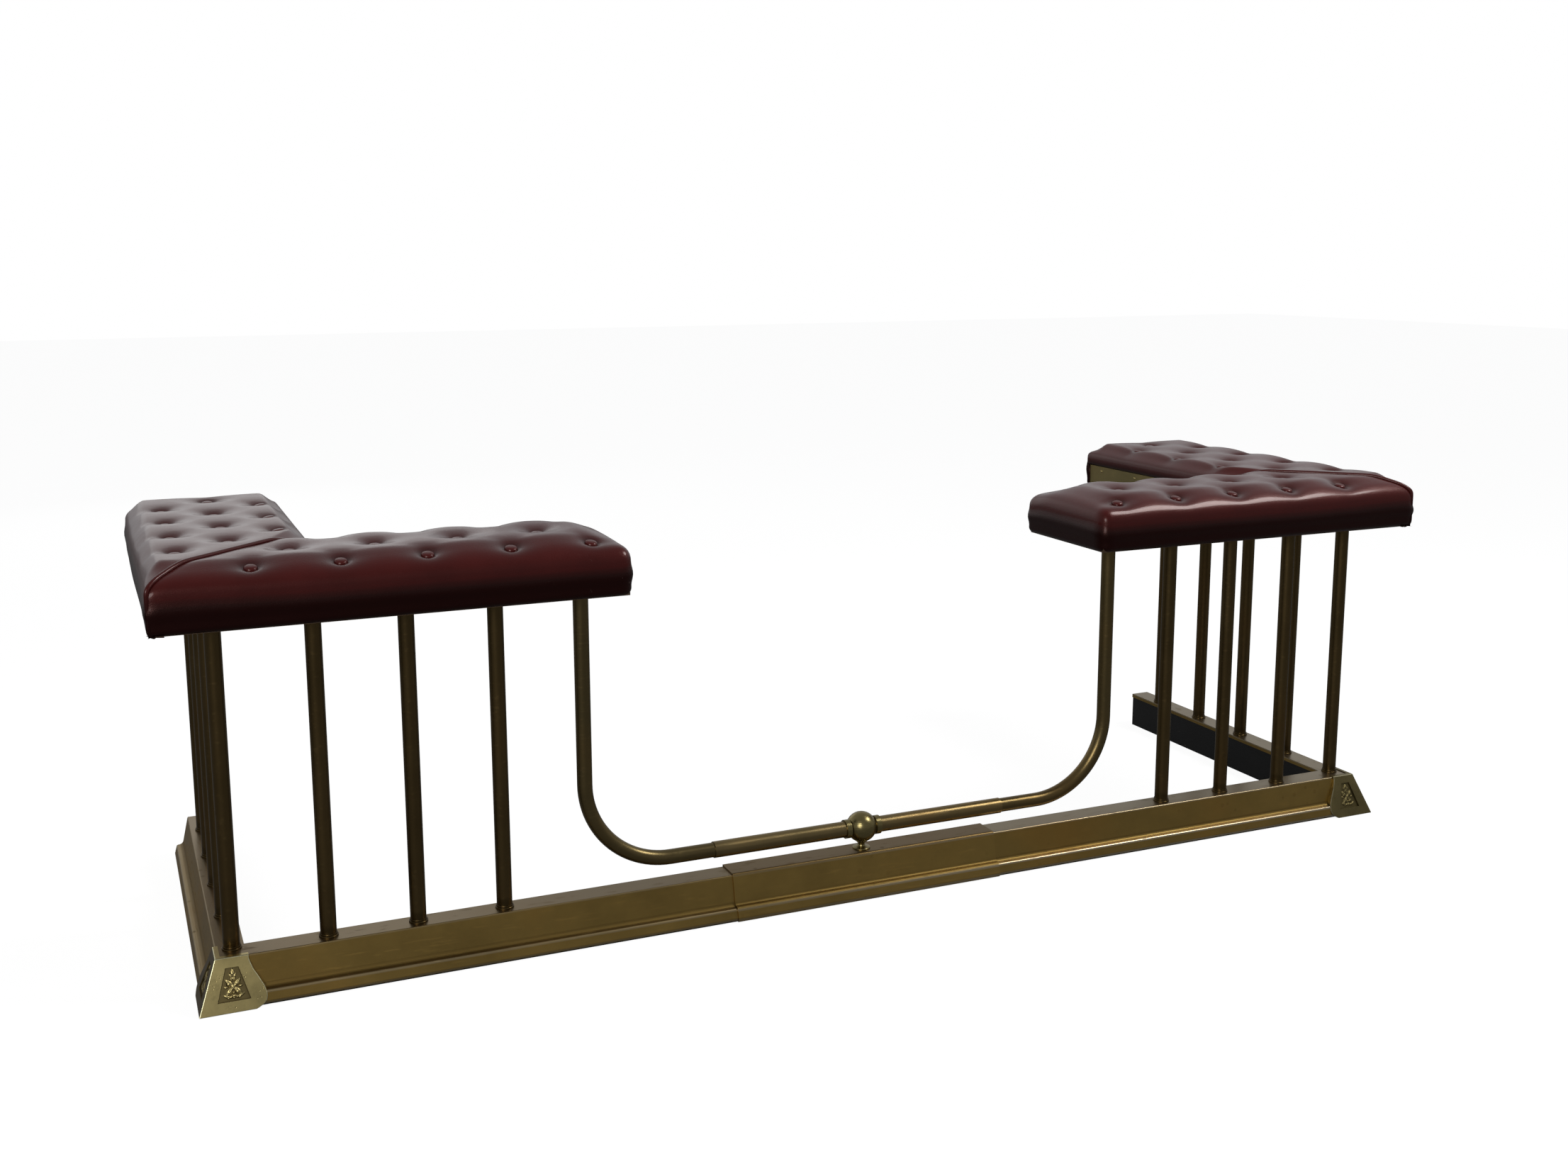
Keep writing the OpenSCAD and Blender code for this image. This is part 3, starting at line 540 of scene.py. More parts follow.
class SeatLeg:
    """Shape of one leg of an L-shaped seat, in lengths along and across it"""

    def __init__(self, settings, kind):
        self.s = settings
        self.kind = kind
        self.length = FRONT_LEN if kind == "front" else RETURN_LEN
        self.end_radius = settings.front_end_radius if kind == "front" else settings.back_end_radius
        pitch = settings.front_pitch if kind == "front" else settings.return_pitch
        first, rows = BUTTON_PLAN[kind]
        self.buttons = leg_buttons(pitch, first, self.length, rows)

    def edge(self, a, c):
        """Rounds the plan's free corners. Gives the moved place, the share of the way from the flat top
        out to the rim, the edge's radius there and the way out"""
        outer = c < SEAT_W / 2
        far = self.s.front_radius if self.kind == "front" else self.s.side_radius
        roll = self.s.edge_radius + (far - self.s.edge_radius) * smooth_step((a - ROLL_STARTS) / ROLL_RUN)
        reach = np.where(outer, roll, self.s.fire_radius)
        near = np.where(outer, c, SEAT_W - c)
        u = np.clip(1 - (self.length - a) / self.end_radius, 0, 1)
        v = np.clip(1 - near / reach, 0, 1)
        share = np.maximum(u, v)
        power = np.where(outer, SOFT_CORNER, SOFT_CORNER if self.kind == "front" else SQUARE_CORNER)
        pull = share / np.maximum((u ** power + v ** power) ** (1 / power), TINY)
        u, v = np.where(share > 0, u * pull, 0), np.where(share > 0, v * pull, 0)
        along = np.where(u > 0, self.length - self.end_radius * (1 - u), a)
        near = np.where(v > 0, reach * (1 - v), near)
        total = np.maximum(u ** 2 + v ** 2, TINY)
        radius = np.where(share > 0, (reach * v ** 2 + self.end_radius * u ** 2) / total, reach)
        out_a, out_c = u ** (power - 1), v ** (power - 1)
        size = np.maximum(np.hypot(out_a, out_c), TINY)
        return (along, np.where(outer, near, SEAT_W - near), share, radius, out_a / size,
                np.where(outer, -out_c, out_c) / size)

    def tufts(self, a, c):
        """Depth of the bowls round the buttons"""
        deepest = np.zeros_like(a)
        wide = np.zeros_like(a)
        for ba, bc in self.buttons:
            r = np.hypot(a - ba, (c - bc) * BOWL_SQUEEZE)
            turn = np.arctan2(c - bc, a - ba)
            folds = 1 + FOLD_SHARE * np.cos(4 * turn) * np.exp(-((r - FOLD_RADIUS) / FOLD_WIDTH) ** 2)
            bowl = np.exp(-(np.clip(r - BOWL_FLOOR, 0, None) / (self.s.tuft_reach * folds)) ** 1.3)
            deepest = np.maximum(deepest, bowl + DIP_SHARE * np.exp(-(r / DIP_RADIUS) ** 4))
            wide += np.exp(-(r / SINK_RADIUS) ** 2)
        return self.s.tuft_depth * (deepest + SINK_SHARE * wide)

    def rings(self, a, c):
        """1 where the hide goes in under a button, fading outwards; painted as shade round the buttons"""
        dark = np.zeros_like(a)
        for ba, bc in self.buttons:
            r = np.hypot(a - ba, c - bc)
            dark = np.maximum(dark, np.exp(-(np.clip(r - RING_RADIUS, 0, None) / DARK_FADE) ** 2))
        return dark

    def draws(self, a, c):
        """Soft valleys that run from button to button"""
        total = np.zeros_like(a)
        for i, (pa, pc) in enumerate(self.buttons):
            for qa, qc in self.buttons[i + 1:]:
                span = math.hypot(qa - pa, qc - pc)
                if span < NEXT_BUTTON:
                    t = np.clip(((a - pa) * (qa - pa) + (c - pc) * (qc - pc)) / span ** 2, 0, 1)
                    off = np.hypot(a - pa - t * (qa - pa), c - pc - t * (qc - pc))
                    valley = np.exp(-(off / VALLEY_WIDTH) ** 2) * (0.55 + 0.45 * np.cos(6.283 * t))
                    total = np.maximum(total, valley)
        return total

    def height(self, a, c, tufted=True):
        """Height of the top: rim, crown, seam and tufts, rolled down at the free edges"""
        along, across, share, radius, _, _ = self.edge(a, c)
        full_side = smooth_step((a - c) / FULL_RUN) if self.kind == "return" else 0.0
        side_run, end_run = SIDE_RUN - RUN_CUT * full_side, END_RUN - RUN_CUT * full_side
        rise = self.s.crown * smooth_step(np.minimum(c, SEAT_W - c) / side_run)
        rise = rise * smooth_step((self.length - a) / end_run)
        if self.kind == "front":
            from_corner = (self.length - a) ** 2 + (SEAT_W - c) ** 2
            rise = rise - DROOP * np.exp(-from_corner / DROOP_REACH ** 2)
        seam = np.clip(a - c, 0, None) / math.sqrt(2)
        top = self.s.rim + rise - SEAM_DEPTH * np.exp(-seam / SEAM_WIDTH)
        if tufted:
            calm = 1 - share ** 2
            if self.kind == "return":
                calm = calm * (1 - CALM_END * (1 - smooth_step((self.length - a - 0.02) / 0.05)))
                calm = calm * (1 - CALM_FIRE * (1 - smooth_step((SEAT_W - c - 0.012) / 0.03)))
            top = top - (self.tufts(along, across) + VALLEY_DEPTH * self.draws(along, across)) * calm
            top = top + TOP_WAVE * wave(along, across, 3)
        roll = np.where(c < SEAT_W / 2, RETURN_ROLL, FIRE_ROLL) if self.kind == "return" else FRONT_ROLL
        return top - radius * (1 - np.clip(1 - share ** roll, 0, 1) ** (1 / roll))

    def fire_swell(self, a, c):
        """How far the leather stands out over the guard strip"""
        swell = FIRE_SWELL * smooth_step((a - c) / FULL_RUN) if self.kind == "return" else 0
        return self.s.overhang + swell

    def corner(self, a, c):
        """Draws the outer corner in under the piping, and lets the fire side swell over the strip"""
        drawn = np.clip(1 - a / CORNER_REACH, 0, 1) ** 2 * CORNER_DRAW
        full = np.clip(1 - (SEAT_W - c) / SWELL_REACH, 0, 1) ** 2 * self.fire_swell(a, c)
        along = full * np.exp(-np.clip(a - c, 0, None) / 0.008)
        if self.kind == "return":
            full = full - np.clip(1 - c / SIDE_REACH, 0, 1) ** 2 * SIDE_OUT * smooth_step((a - 0.08) / 0.3)
        return a + drawn + along, c + drawn * (c < SEAT_W / 2) + full


def rim_loop(rows, columns):
    """The outline of a grid, from the mitre round by the fire side and the end"""
    there = [(0, j) for j in range(columns)] + [(i, columns - 1) for i in range(1, rows)]
    back = [(rows - 1, j) for j in range(columns - 2, -1, -1)] + [(i, 0) for i in range(rows - 2, 0, -1)]
    return there + back


def leather_faces(rows, columns, loop, bands):
    """Faces of the top's grid, and of the bands that hang from its outline"""
    faces = [(i * columns + j, (i + 1) * columns + j, (i + 1) * columns + j + 1, i * columns + j + 1)
             for i in range(rows - 1) for j in range(columns - 1)]
    previous = [i * columns + j for i, j in loop]
    start = rows * columns
    for _ in range(bands):
        following = [start + k for k in range(len(loop))]
        for k in range(len(loop)):
            n = (k + 1) % len(loop)
            faces.append((previous[k], previous[n], following[n], following[k]))
        previous = following
        start += len(loop)
    return faces


def leather_top(leg, a, c, z):
    """Points and marks of the tufted top: painted shade in the bowls, round the buttons and along the mitre's
    seam, painted highlight with some rubbing on the ridges, and painted shade on the rolled edges
    """
    pa, pc = leg.corner(*leg.edge(a, c)[:2])
    tuft = leg.tufts(a, c) / leg.s.tuft_depth
    seam_shade = np.exp(-(np.clip(a - c, 0, None) / math.sqrt(2) / DARK_FADE) ** 2)
    dark = np.maximum(leg.rings(a, c), np.clip(tuft * 0.9 - 0.45, 0, 0.5))
    return (np.stack([pa.ravel(), pc.ravel(), z.ravel()], 1), np.maximum(dark, seam_shade * 0.8).ravel(),
            np.clip(0.75 - tuft.ravel() * 1.7, 0, 1), leg.edge(a, c)[2].ravel() ** 4 * 0.25)


def leather_skirt(leg, a, c, rim_z, at_mitre, at_fire):
    """Points and marks of the bands below the rim: the side, the turn under the board and the hem.
    On the fire side the leather is held behind the guard strip"""
    ra, rc, _, _, out_a, out_c = leg.edge(a, c)
    count = len(a)
    out_c = np.where(at_mitre, np.where(c <= 0, -1.0, np.where(at_fire, 1.0, 0.0)), out_c)
    out_a = np.where(at_mitre, out_c, out_a)
    strip = smooth_step((leg.length - ra - STRIP_STOPS) / STRIP_FADE) if leg.kind == "front" else 1.0
    held = (at_fire & (out_c > 0.5)) * strip
    turn = leg.s.bottom_radius
    bands = [(k / SIDE_BANDS, None) for k in range(1, SIDE_BANDS + 1)] + [(1, t) for t in TURN_ANGLES]
    for number, (down, angle) in enumerate(bands):
        if angle is None:
            height = rim_z + (turn - rim_z) * down
            if number < len(STRIP_HEIGHTS):
                height = np.where(held > 0.5, GUARD_TOP + STRIP_HEIGHTS[number], height)
            out = SIDE_BULGE * math.sin(math.pi * min(1, down * 1.1)) ** 2
        else:
            height = np.full(count, turn * (1 - math.sin(angle)))
            out = -turn * (1 - math.cos(angle))
        swell = out + SIDE_WAVE * wave(ra * 1.6, rc * 1.6 + down * 0.05, 9) * math.sin(math.pi * down)
        tucked = STRIP_TUCKS[number] if number < len(STRIP_TUCKS) else -BEHIND_STRIP - leg.fire_swell(ra, rc)
        step = np.where(held > 0, (1 - held) * swell + held * tucked, swell)
        pa, pc = leg.corner(ra, rc)
        # Marks of each band: painted shade in the turn and the hem, painted highlight fading down from the
        # rim, and painted shade deepening towards the bottom
        yield (np.stack([pa + out_a * step, pc + out_c * step, height], 1),
               np.full(count, 0.0 if angle is None else 0.3), np.full(count, 0.35 * (1 - down)),
               np.full(count, 0.34 + 0.9 * down))
    yield (np.stack([ra - out_a * HEM, rc - out_c * HEM, np.full(count, HEM_LEVEL)], 1),
           np.full(count, 0.5), np.zeros(count), np.ones(count))


def leather_leg(settings, side, kind, material):
    """One leg's leather: tufted top, swelling sides and the turn under the board"""
    leg = SeatLeg(settings, kind)
    across = lines(SEAT_W, settings.mesh_step, settings.edge_radius, settings.fire_radius)
    share = lines(leg.length, settings.mesh_step, settings.edge_radius, leg.end_radius) / leg.length
    rows, columns = len(share), len(across)
    c = np.tile(across, (rows, 1))
    a = c + (leg.length - c) * share[:, None]
    z = leg.height(a, c)
    loop = rim_loop(rows, columns)
    i, j = np.array(loop).T
    skirt = leather_skirt(leg, a[i, j], c[i, j], z[i, j], i == 0, j == columns - 1)
    bands = [leather_top(leg, a, c, z), *skirt]
    verts, fold, ridge, sides = (np.concatenate(part) for part in zip(*bands))
    near_end = np.clip(1 - (leg.length - verts[:, 0]) / 0.1, 0, 1)
    scuff = np.clip(near_end + 0.2 * (verts[:, 1] < 0.01), 0, 1) if kind == "front" else near_end * 0.3
    marks = {"fold": fold, "ridge": ridge, "side": sides, "scuff": scuff * (1 if side == "left" else 0.4)}
    faces = leather_faces(rows, columns, loop, len(bands) - 1)
    piece = made_piece(f"{side}_{kind}_seat_leather", placed(verts, side, kind), faces, material,
                       f"{side}_half", marks, flip=mirrored(side, kind))
    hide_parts(f"{side}_{kind}_cushion", *([f"{side}_seat_border"] if kind == "front" else []))


def mirrored(side, kind):
    """Whether the faces of a leg's piece turn over when it is placed"""
    return (side == "right") ^ (kind == "return")


def placed(points, side, kind):
    """From (along, across, up) on a seat leg to the frame"""
    along, across, up = points[:, 0], points[:, 1], points[:, 2]
    x, y = (along, across) if kind == "front" else (across, along)
    world = np.stack([-SEAT_X + x, SEAT_Y + y, SEAT_Z + up], 1)
    if side == "right":
        world[:, 0] *= -1
    return world


def swept(route, radius, sides=14):
    """A round cord along a route; gives points and faces"""
    route = np.asarray(route, dtype=float)
    count = len(route)
    tangent = np.gradient(route, axis=0)
    tangent /= np.linalg.norm(tangent, axis=1)[:, None]
    first = np.array([1.0, -1.0, 0.0]) / math.sqrt(2)
    second = np.cross(first, tangent)
    second /= np.linalg.norm(second, axis=1)[:, None]
    turn = np.arange(sides) * 2 * math.pi / sides
    rings = (route[:, None] + radius * (np.cos(turn)[None, :, None] * first[None, None]
                                        + np.sin(turn)[None, :, None] * second[:, None]))
    faces = []
    for i in range(count - 1):
        for k in range(sides):
            n = (k + 1) % sides
            faces.append((i * sides + k, (i + 1) * sides + k, (i + 1) * sides + n, i * sides + n))
    faces.append(tuple(range(sides)))
    faces.append(tuple(reversed([(count - 1) * sides + k for k in range(sides)])))
    return rings.reshape(-1, 3), faces


def lathe(profile, sides=28):
    """Points and faces of a profile [radius, height] turned about the upright axis"""
    verts, faces = [], []
    for r, h in profile:
        for k in range(sides):
            t = 2 * math.pi * k / sides
            verts.append((r * math.cos(t), r * math.sin(t), h))
    for i in range(len(profile) - 1):
        for k in range(sides):
            n = (k + 1) % sides
            faces.append((i * sides + k, i * sides + n, (i + 1) * sides + n, (i + 1) * sides + k))
    faces.append(tuple((len(profile) - 1) * sides + k for k in range(sides)))
    return np.array(verts), faces


# ---------------------------------------------------------------- operators


class FENDER_OT_finishes(bpy.types.Operator):
    """Give every CAD piece that stays its finish"""

    bl_idname = "fender.finishes"
    bl_label = "Brass and steel finishes"

    def execute(self, context):
        f = context.scene.fender_finishes
        moulding, bright = f.kerb, f.casting
        kerb = aged_brass("kerb_brass_along", moulding, along=(0.12, 1, 1), kerb=True)
        kerb_return = aged_brass("kerb_brass_return", moulding, along=(1, 0.12, 1), kerb=True)
        cover = aged_brass("kerb_sleeve_brass", scaled(moulding, 1.06), along=(0.12, 1, 1), kerb=True)
        tube = aged_brass("tube_brass", f.tube, along=(1, 1, 0.08), roughness=0.3, tarnish=0.5, tube=True)
        rail = aged_brass("rail_brass", scaled(moulding, 0.5, 0.57, 0.85), along=(0.1, 1, 1),
                          roughness=0.3, tarnish=0.5)
        sleeve = aged_brass("rail_sleeve_brass", scaled(moulding, 0.75, 0.84, 1.28), along=(0.1, 1, 1),
                            roughness=0.28)
        ball = aged_brass("ball_brass", scaled(bright, 0.5), roughness=0.25, tarnish=0.7)
        guard = aged_brass("guard_strip_brass", scaled(bright, 0.62), along=(0.15, 0.15, 1), roughness=0.34)
        pins = aged_brass("guard_pin_brass", scaled(bright, 0.8), roughness=0.28)
        paint = black_paint("black_steel_paint", tuple(f.steel))
        steel = plain_steel("fastener_steel")
        ply = stained_ply("seat_board_ply")
        table = {"centre_kerb_sleeve": cover, "centre_rail_sleeve": sleeve, "rail_ball": ball,
                 "ball_nut": steel}
        half = {
            "front_kerb": kerb, "return_kerb": kerb_return, "front_channel": paint,
            "return_channel": paint, "casting_screws": steel, "corner_tube": tube,
            "tube_collars": tube, "tie_rods": steel, "rod_nuts": steel, "rail_bend": rail,
            "seat_plate": paint, "seat_board": ply, "guard_strip": guard, "guard_pins": pins,
            "seat_screws": steel, "corner_casting": kerb,
            **{f"front_tube_{i}": tube for i in (1, 2, 3)},
            **{f"return_tube_{i}": tube for i in (1, 2, 3, 4)},
        }
        for side in SIDES:
            for part, finish in half.items():
                table[f"{side}_{part}"] = finish
        for name, finish in table.items():
            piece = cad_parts[name]
            if not piece.data.materials:
                piece.data.materials.append(finish)
            for place in piece.material_slots:
                place.material = finish
        return {"FINISHED"}


class FENDER_OT_seats(bpy.types.Operator):
    """Make the buttoned leather of both L-shaped seats"""

    bl_idname = "fender.seats"
    bl_label = "Leather seats"

    def execute(self, context):
        hide = oxblood_leather("oxblood_leather", context.scene.fender_finishes.leather)
        for side in SIDES:
            for kind in ("front", "return"):
                leather_leg(context.scene.fender_seats, side, kind, hide)
        return {"FINISHED"}


class FENDER_OT_buttons(bpy.types.Operator):
    """Set a covered button in each tuft"""

    bl_idname = "fender.buttons"
    bl_label = "Covered buttons"

    def execute(self, context):
        s = context.scene.fender_seats
        colour = scaled(context.scene.fender_finishes.leather, 0.95)
        hide = oxblood_leather("button_leather", colour)
        r, step = s.button_radius, SLOPE_STEP
        shape, shape_faces = lathe([(r * share, height) for share, height in BUTTON_PROFILE])
        for side in SIDES:
            verts, faces, ridge = [], [], []
            for kind in ("front", "return"):
                leg = SeatLeg(s, kind)
                for a, c in leg.buttons:
                    at = np.array([a, a + step, a, a - step, a]), np.array([c, c, c + step, c, c - step])
                    h = leg.height(*at)
                    slope_a, slope_c = (h[1] - h[3]) / (2 * step), (h[2] - h[4]) / (2 * step)
                    base = len(verts)
                    spot = shape.copy()
                    spot[:, 2] += 0.6 * (spot[:, 0] * slope_a + spot[:, 1] * slope_c)
                    spot += (a, c, h[0] + 0.0006)
                    verts.extend(placed(spot, side, kind))
                    faces.extend([tuple(base + v for v in (reversed(f) if mirrored(side, kind) else f))
                                  for f in shape_faces])
                    # Painted highlight: lighter towards the top of each cap
                    ridge.extend(np.clip((shape[:, 2] - 0.001) / 0.002, 0, 1))
            piece = made_piece(f"{side}_seat_button_caps", verts, faces, hide, f"{side}_half",
                               {"ridge": ridge, "fold": 0, "side": 0, "scuff": 0})
            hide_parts(f"{side}_seat_buttons")
        return {"FINISHED"}


class FENDER_OT_piping(bpy.types.Operator):
    """Run the piping cord over each mitre and down the outer corner"""

    bl_idname = "fender.piping"
    bl_label = "Mitre piping"

    def execute(self, context):
        s = context.scene.fender_seats
        colour = scaled(context.scene.fender_finishes.leather, 0.8)
        hide = oxblood_leather("piping_leather", colour)
        leg = SeatLeg(s, "front")
        inset, turn = 0.0028, s.bottom_radius
        t = np.concatenate([np.linspace(inset, 0.03, 22), np.linspace(0.033, SEAT_W - 0.03, 46),
                            np.linspace(SEAT_W - 0.028, SEAT_W - 0.0008, 20)])
        top = leg.height(t, t, tufted=False) + 0.0022
        route = [(*[inset + turn * (1 - math.cos(w))] * 2, turn * (1 - math.sin(w)))
                 for w in np.linspace(1.25, 0.1, 8)]
        route += [(inset, inset, z) for z in np.linspace(turn, top[0] - 0.0015, 12)]
        route += [(v, v, z) for v, z in zip(t, top)]
        route += [(SEAT_W, SEAT_W, z) for z in np.linspace(top[-1] - 0.001, GUARD_TOP + 0.002, 3)]
        route = np.array(route)
        for _ in range(3):
            route[1:-1] = (route[:-2] + 2 * route[1:-1] + route[2:]) / 4
        verts, faces = swept(route, s.piping_radius)
        # Painted shade towards the cord's foot, painted highlight higher up
        low = np.clip(1.0 - (verts[:, 2] - 0.004) / 0.05, 0, 1)
        for side in SIDES:
            piece = made_piece(f"{side}_mitre_piping_cord", placed(verts, side, "front"), faces, hide,
                               f"{side}_half",
                               {"ridge": 0.5 * (1 - low), "fold": 0, "side": low, "scuff": 0},
                               flip=side == "right")
            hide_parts(f"{side}_seat_piping")
        return {"FINISHED"}


class FENDER_OT_castings(bpy.types.Operator):
    """Soften the corner castings' edges and lay foliage in their panels"""

    bl_idname = "fender.castings"
    bl_label = "Corner castings"

    def execute(self, context):
        colour = context.scene.fender_finishes.casting
        for side in SIDES:
            # The right casting is painted darker as shade, with half the colour, and given a duller finish
            share, dull_and_shaded = (1.0, 0.0) if side == "left" else (0.5, 0.7)
            finish = cast_brass(f"{side}_casting_brass", scaled(colour, share), dull_and_shaded)
            # Pale finish for the bevelled edges: partly rubbed brass, partly painted highlight
            edge = cast_brass(f"{side}_casting_edge_wear_and_highlight_brass", (0.95 * share, 0.86 * share, 0.55 * share), dull_and_shaded)
            self.casting(side, finish, edge)
            self.foliage(side, finish)
        return {"FINISHED"}

    def casting(self, side, finish, edge):
        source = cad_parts[f"{side}_corner_casting"]
        mesh = source.data.copy()
        mesh.name = f"{side}_casting_body"
        mesh.materials.clear()
        mesh.materials.append(finish)
        mesh.materials.append(edge)
        piece = placed_in_scene(f"{side}_casting_body", mesh)
        self.mark_edges(mesh)
        bevel = piece.modifiers.new("soft edges", "BEVEL")
        bevel.width = 0.0009
        bevel.segments = 2
        bevel.limit_method = "WEIGHT"
        bevel.use_clamp_overlap = False
        bevel.material = 1
        painted(mesh, sunk=panel_depth(np.array([v.co for v in mesh.vertices])), rim=0)
        # Faces towards the return, marked for their painted shade
        painted(mesh, "FACE", patina=[float(abs(p.normal.x) > 0.5 and p.normal.x * p.center.x > 0)
                                      for p in mesh.polygons])
        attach(piece, f"{side}_half")
        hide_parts(f"{side}_corner_casting")

    def mark_edges(self, mesh):
        """Join the skin and mark the sharp edges of the sloping faces, which get the pale edge finish: partly
        rubbed brass, partly painted highlight
        """
        skin = bmesh.new()
        skin.from_mesh(mesh)
        bmesh.ops.remove_doubles(skin, verts=skin.verts, dist=0.00002)
        bmesh.ops.dissolve_limit(skin, angle_limit=math.radians(0.6), verts=skin.verts, edges=skin.edges)
        weight = skin.edges.layers.float.new("bevel_weight_edge")
        for edge in skin.edges:
            if len(edge.link_faces) == 2 and edge.calc_face_angle(0) > math.radians(28):
                ends = np.array([v.co for v in edge.verts])
                ends[:, 0] = -np.abs(ends[:, 0])
                for dx, dy in ((ends[:, 0] + RETURN_X, ends[:, 1] - FRONT_Y),
                               (ends[:, 1] - FRONT_Y, ends[:, 0] + RETURN_X)):
                    level = (dy + CAST_FOOT - ends[:, 2] * math.tan(CAST_LEAN)) * math.cos(CAST_LEAN)
                    rise = ends[:, 2] / math.cos(CAST_LEAN)
                    taper = PANEL_SLOPE * (rise - PANEL_LOW)
                    panel = ((rise > PANEL_ZONE[0]) & (rise < PANEL_ZONE[1])
                             & (dx > PANEL_REACH[0] + taper) & (dx < PANEL_REACH[1] - taper))
                    if np.abs(level).max() < 0.0001 and not panel.any():
                        edge[weight] = 1.0
        skin.to_mesh(mesh)
        skin.free()

    def foliage(self, side, finish):
        """A relief field in panel lengths u, v; h stands off the panel's floor"""
        rows, columns = 92, 62
        bottom, top = PANEL_LOW + PANEL_GAP, PANEL_LOW + PANEL_RISE - PANEL_GAP
        verts, faces, sunk, patina = [], [], [], []
        for leg in (0, 1):
            base = len(verts)
            for row in np.linspace(bottom, top, rows):
                taper = PANEL_TAPER * (row - PANEL_LOW) / PANEL_RISE + PANEL_GAP
                left, right = PANEL_LEFT + taper, PANEL_RIGHT - taper
                u = np.linspace(left, right, columns)
                h = foliage_height(u * 1000 + 3.2, np.full(columns, row * 1000 - 2.2))
                edge = np.minimum.reduce([u - left, right - u, np.full(columns, row - bottom),
                                          np.full(columns, top - row)])
                h = h * smooth_step(edge / 0.0008)
                for uu, hh in zip(u, h):
                    verts.append(panel_point(uu, row, PANEL_FLOOR + hh / 1000, leg))
                    sunk.append(float(np.clip(0.92 - hh / 1.5, 0, 1)))
                    # The return leg's foliage gets the same painted shade
                    patina.append(float(leg))
            for i in range(rows - 1):
                for k in range(columns - 1):
                    quad = (base + i * columns + k, base + i * columns + k + 1,
                            base + (i + 1) * columns + k + 1, base + (i + 1) * columns + k)
                    faces.append(tuple(reversed(quad)) if leg else quad)
        verts = np.array(verts)
        if side == "right":
            verts[:, 0] *= -1
        made_piece(f"{side}_casting_foliage", verts, faces, finish, f"{side}_half",
                   {"sunk": sunk, "rim": np.clip(0.4 - np.array(sunk), 0, 1), "patina": patina},
                   flip=side == "right")


def panel_point(u, v, n, leg):
    """A point on a left casting's face, from its length, height and stand-off"""
    dx = 0.001 + u
    dy = -CAST_FOOT + v * math.sin(CAST_LEAN) - n * math.cos(CAST_LEAN)
    z = v * math.cos(CAST_LEAN) + n * math.sin(CAST_LEAN)
    if leg:
        dx, dy = dy, dx
    return (-RETURN_X + dx, FRONT_Y + dy, z)


def panel_depth(points):
    """1 where a casting's point lies behind its sloping faces"""
    plane = -CAST_FOOT + points[:, 2] * math.tan(CAST_LEAN)
    deep = [np.abs((d - plane) * math.cos(CAST_LEAN))
            for d in (points[:, 1] - FRONT_Y, -np.abs(points[:, 0]) + RETURN_X)]
    nearest = np.minimum(*deep)
    return np.clip((nearest - 0.0012) / 0.0006, 0, 1) * (nearest < 0.0026)


def petal(u, v, at, turn, long, wide, high, vein=0.35):
    """A pointed leaf: high in the middle, with a groove down its spine"""
    du, dv = u - at[0], v - at[1]
    along = (du * math.cos(turn) + dv * math.sin(turn)) / long
    across = (-du * math.sin(turn) + dv * math.cos(turn)) / wide
    width = np.clip(1 - along ** 2, 0, None) ** 0.75 + 1e-6
    body = np.clip(1 - (across / width) ** 2, 0, None) * (np.abs(along) < 1)
    grooved = high * np.sqrt(body) * (1 - vein * np.exp(-(across / 0.16) ** 2))
    return grooved * (0.65 + 0.35 * (1 - along ** 2))


def foliage_height(u, v):
    """Height in millimetres of the relief: a bud, crossed leaves, curled tips and berries"""
    h = np.full_like(u, 0.12)
    pieces = [petal(u, v, (0, 42.4), math.pi / 2, 4.6, 2.5, 1.9, 0.5),
              petal(u, v, (-2.3, 39.2), 2.0, 3.3, 1.3, 1.4), petal(u, v, (2.3, 39.2), 1.14, 3.3, 1.3, 1.4)]
    for s in (-1, 1):
        pieces.append(petal(u, v, (4.4 * s, 31.8), math.pi / 2 - 0.75 * s, 5.6, 2.5, 2.0))
        pieces.append(petal(u, v, (4.3 * s, 22.6), math.pi / 2 + 0.75 * s, 5.6, 2.6, 2.0))
        pieces.append(petal(u, v, (8.1 * s, 27.2), 0.2 * s, 2.4, 1.5, 1.5))
        pieces.append(petal(u, v, (7.7 * s, 16.9), 0.5 * s, 4.2, 1.7, 1.7))
        pieces.append(petal(u, v, (1.5 * s, 35.2), math.pi / 2 - 0.3 * s, 2.6, 1.0, 1.3, 0.2))
    for x, y, r in ((0, 27.3, 2.7), (-3.6, 15.8, 1.7), (0, 16.6, 1.9), (3.6, 15.8, 1.7), (0, 20.4, 1.4)):
        berry = np.clip(1 - ((u - x) ** 2 + (v - y) ** 2) / r ** 2, 0, None)
        pieces.append(2.0 * np.sqrt(berry) * min(1, r / 2))
    for p in pieces:
        h = np.maximum(h, p)
    return h


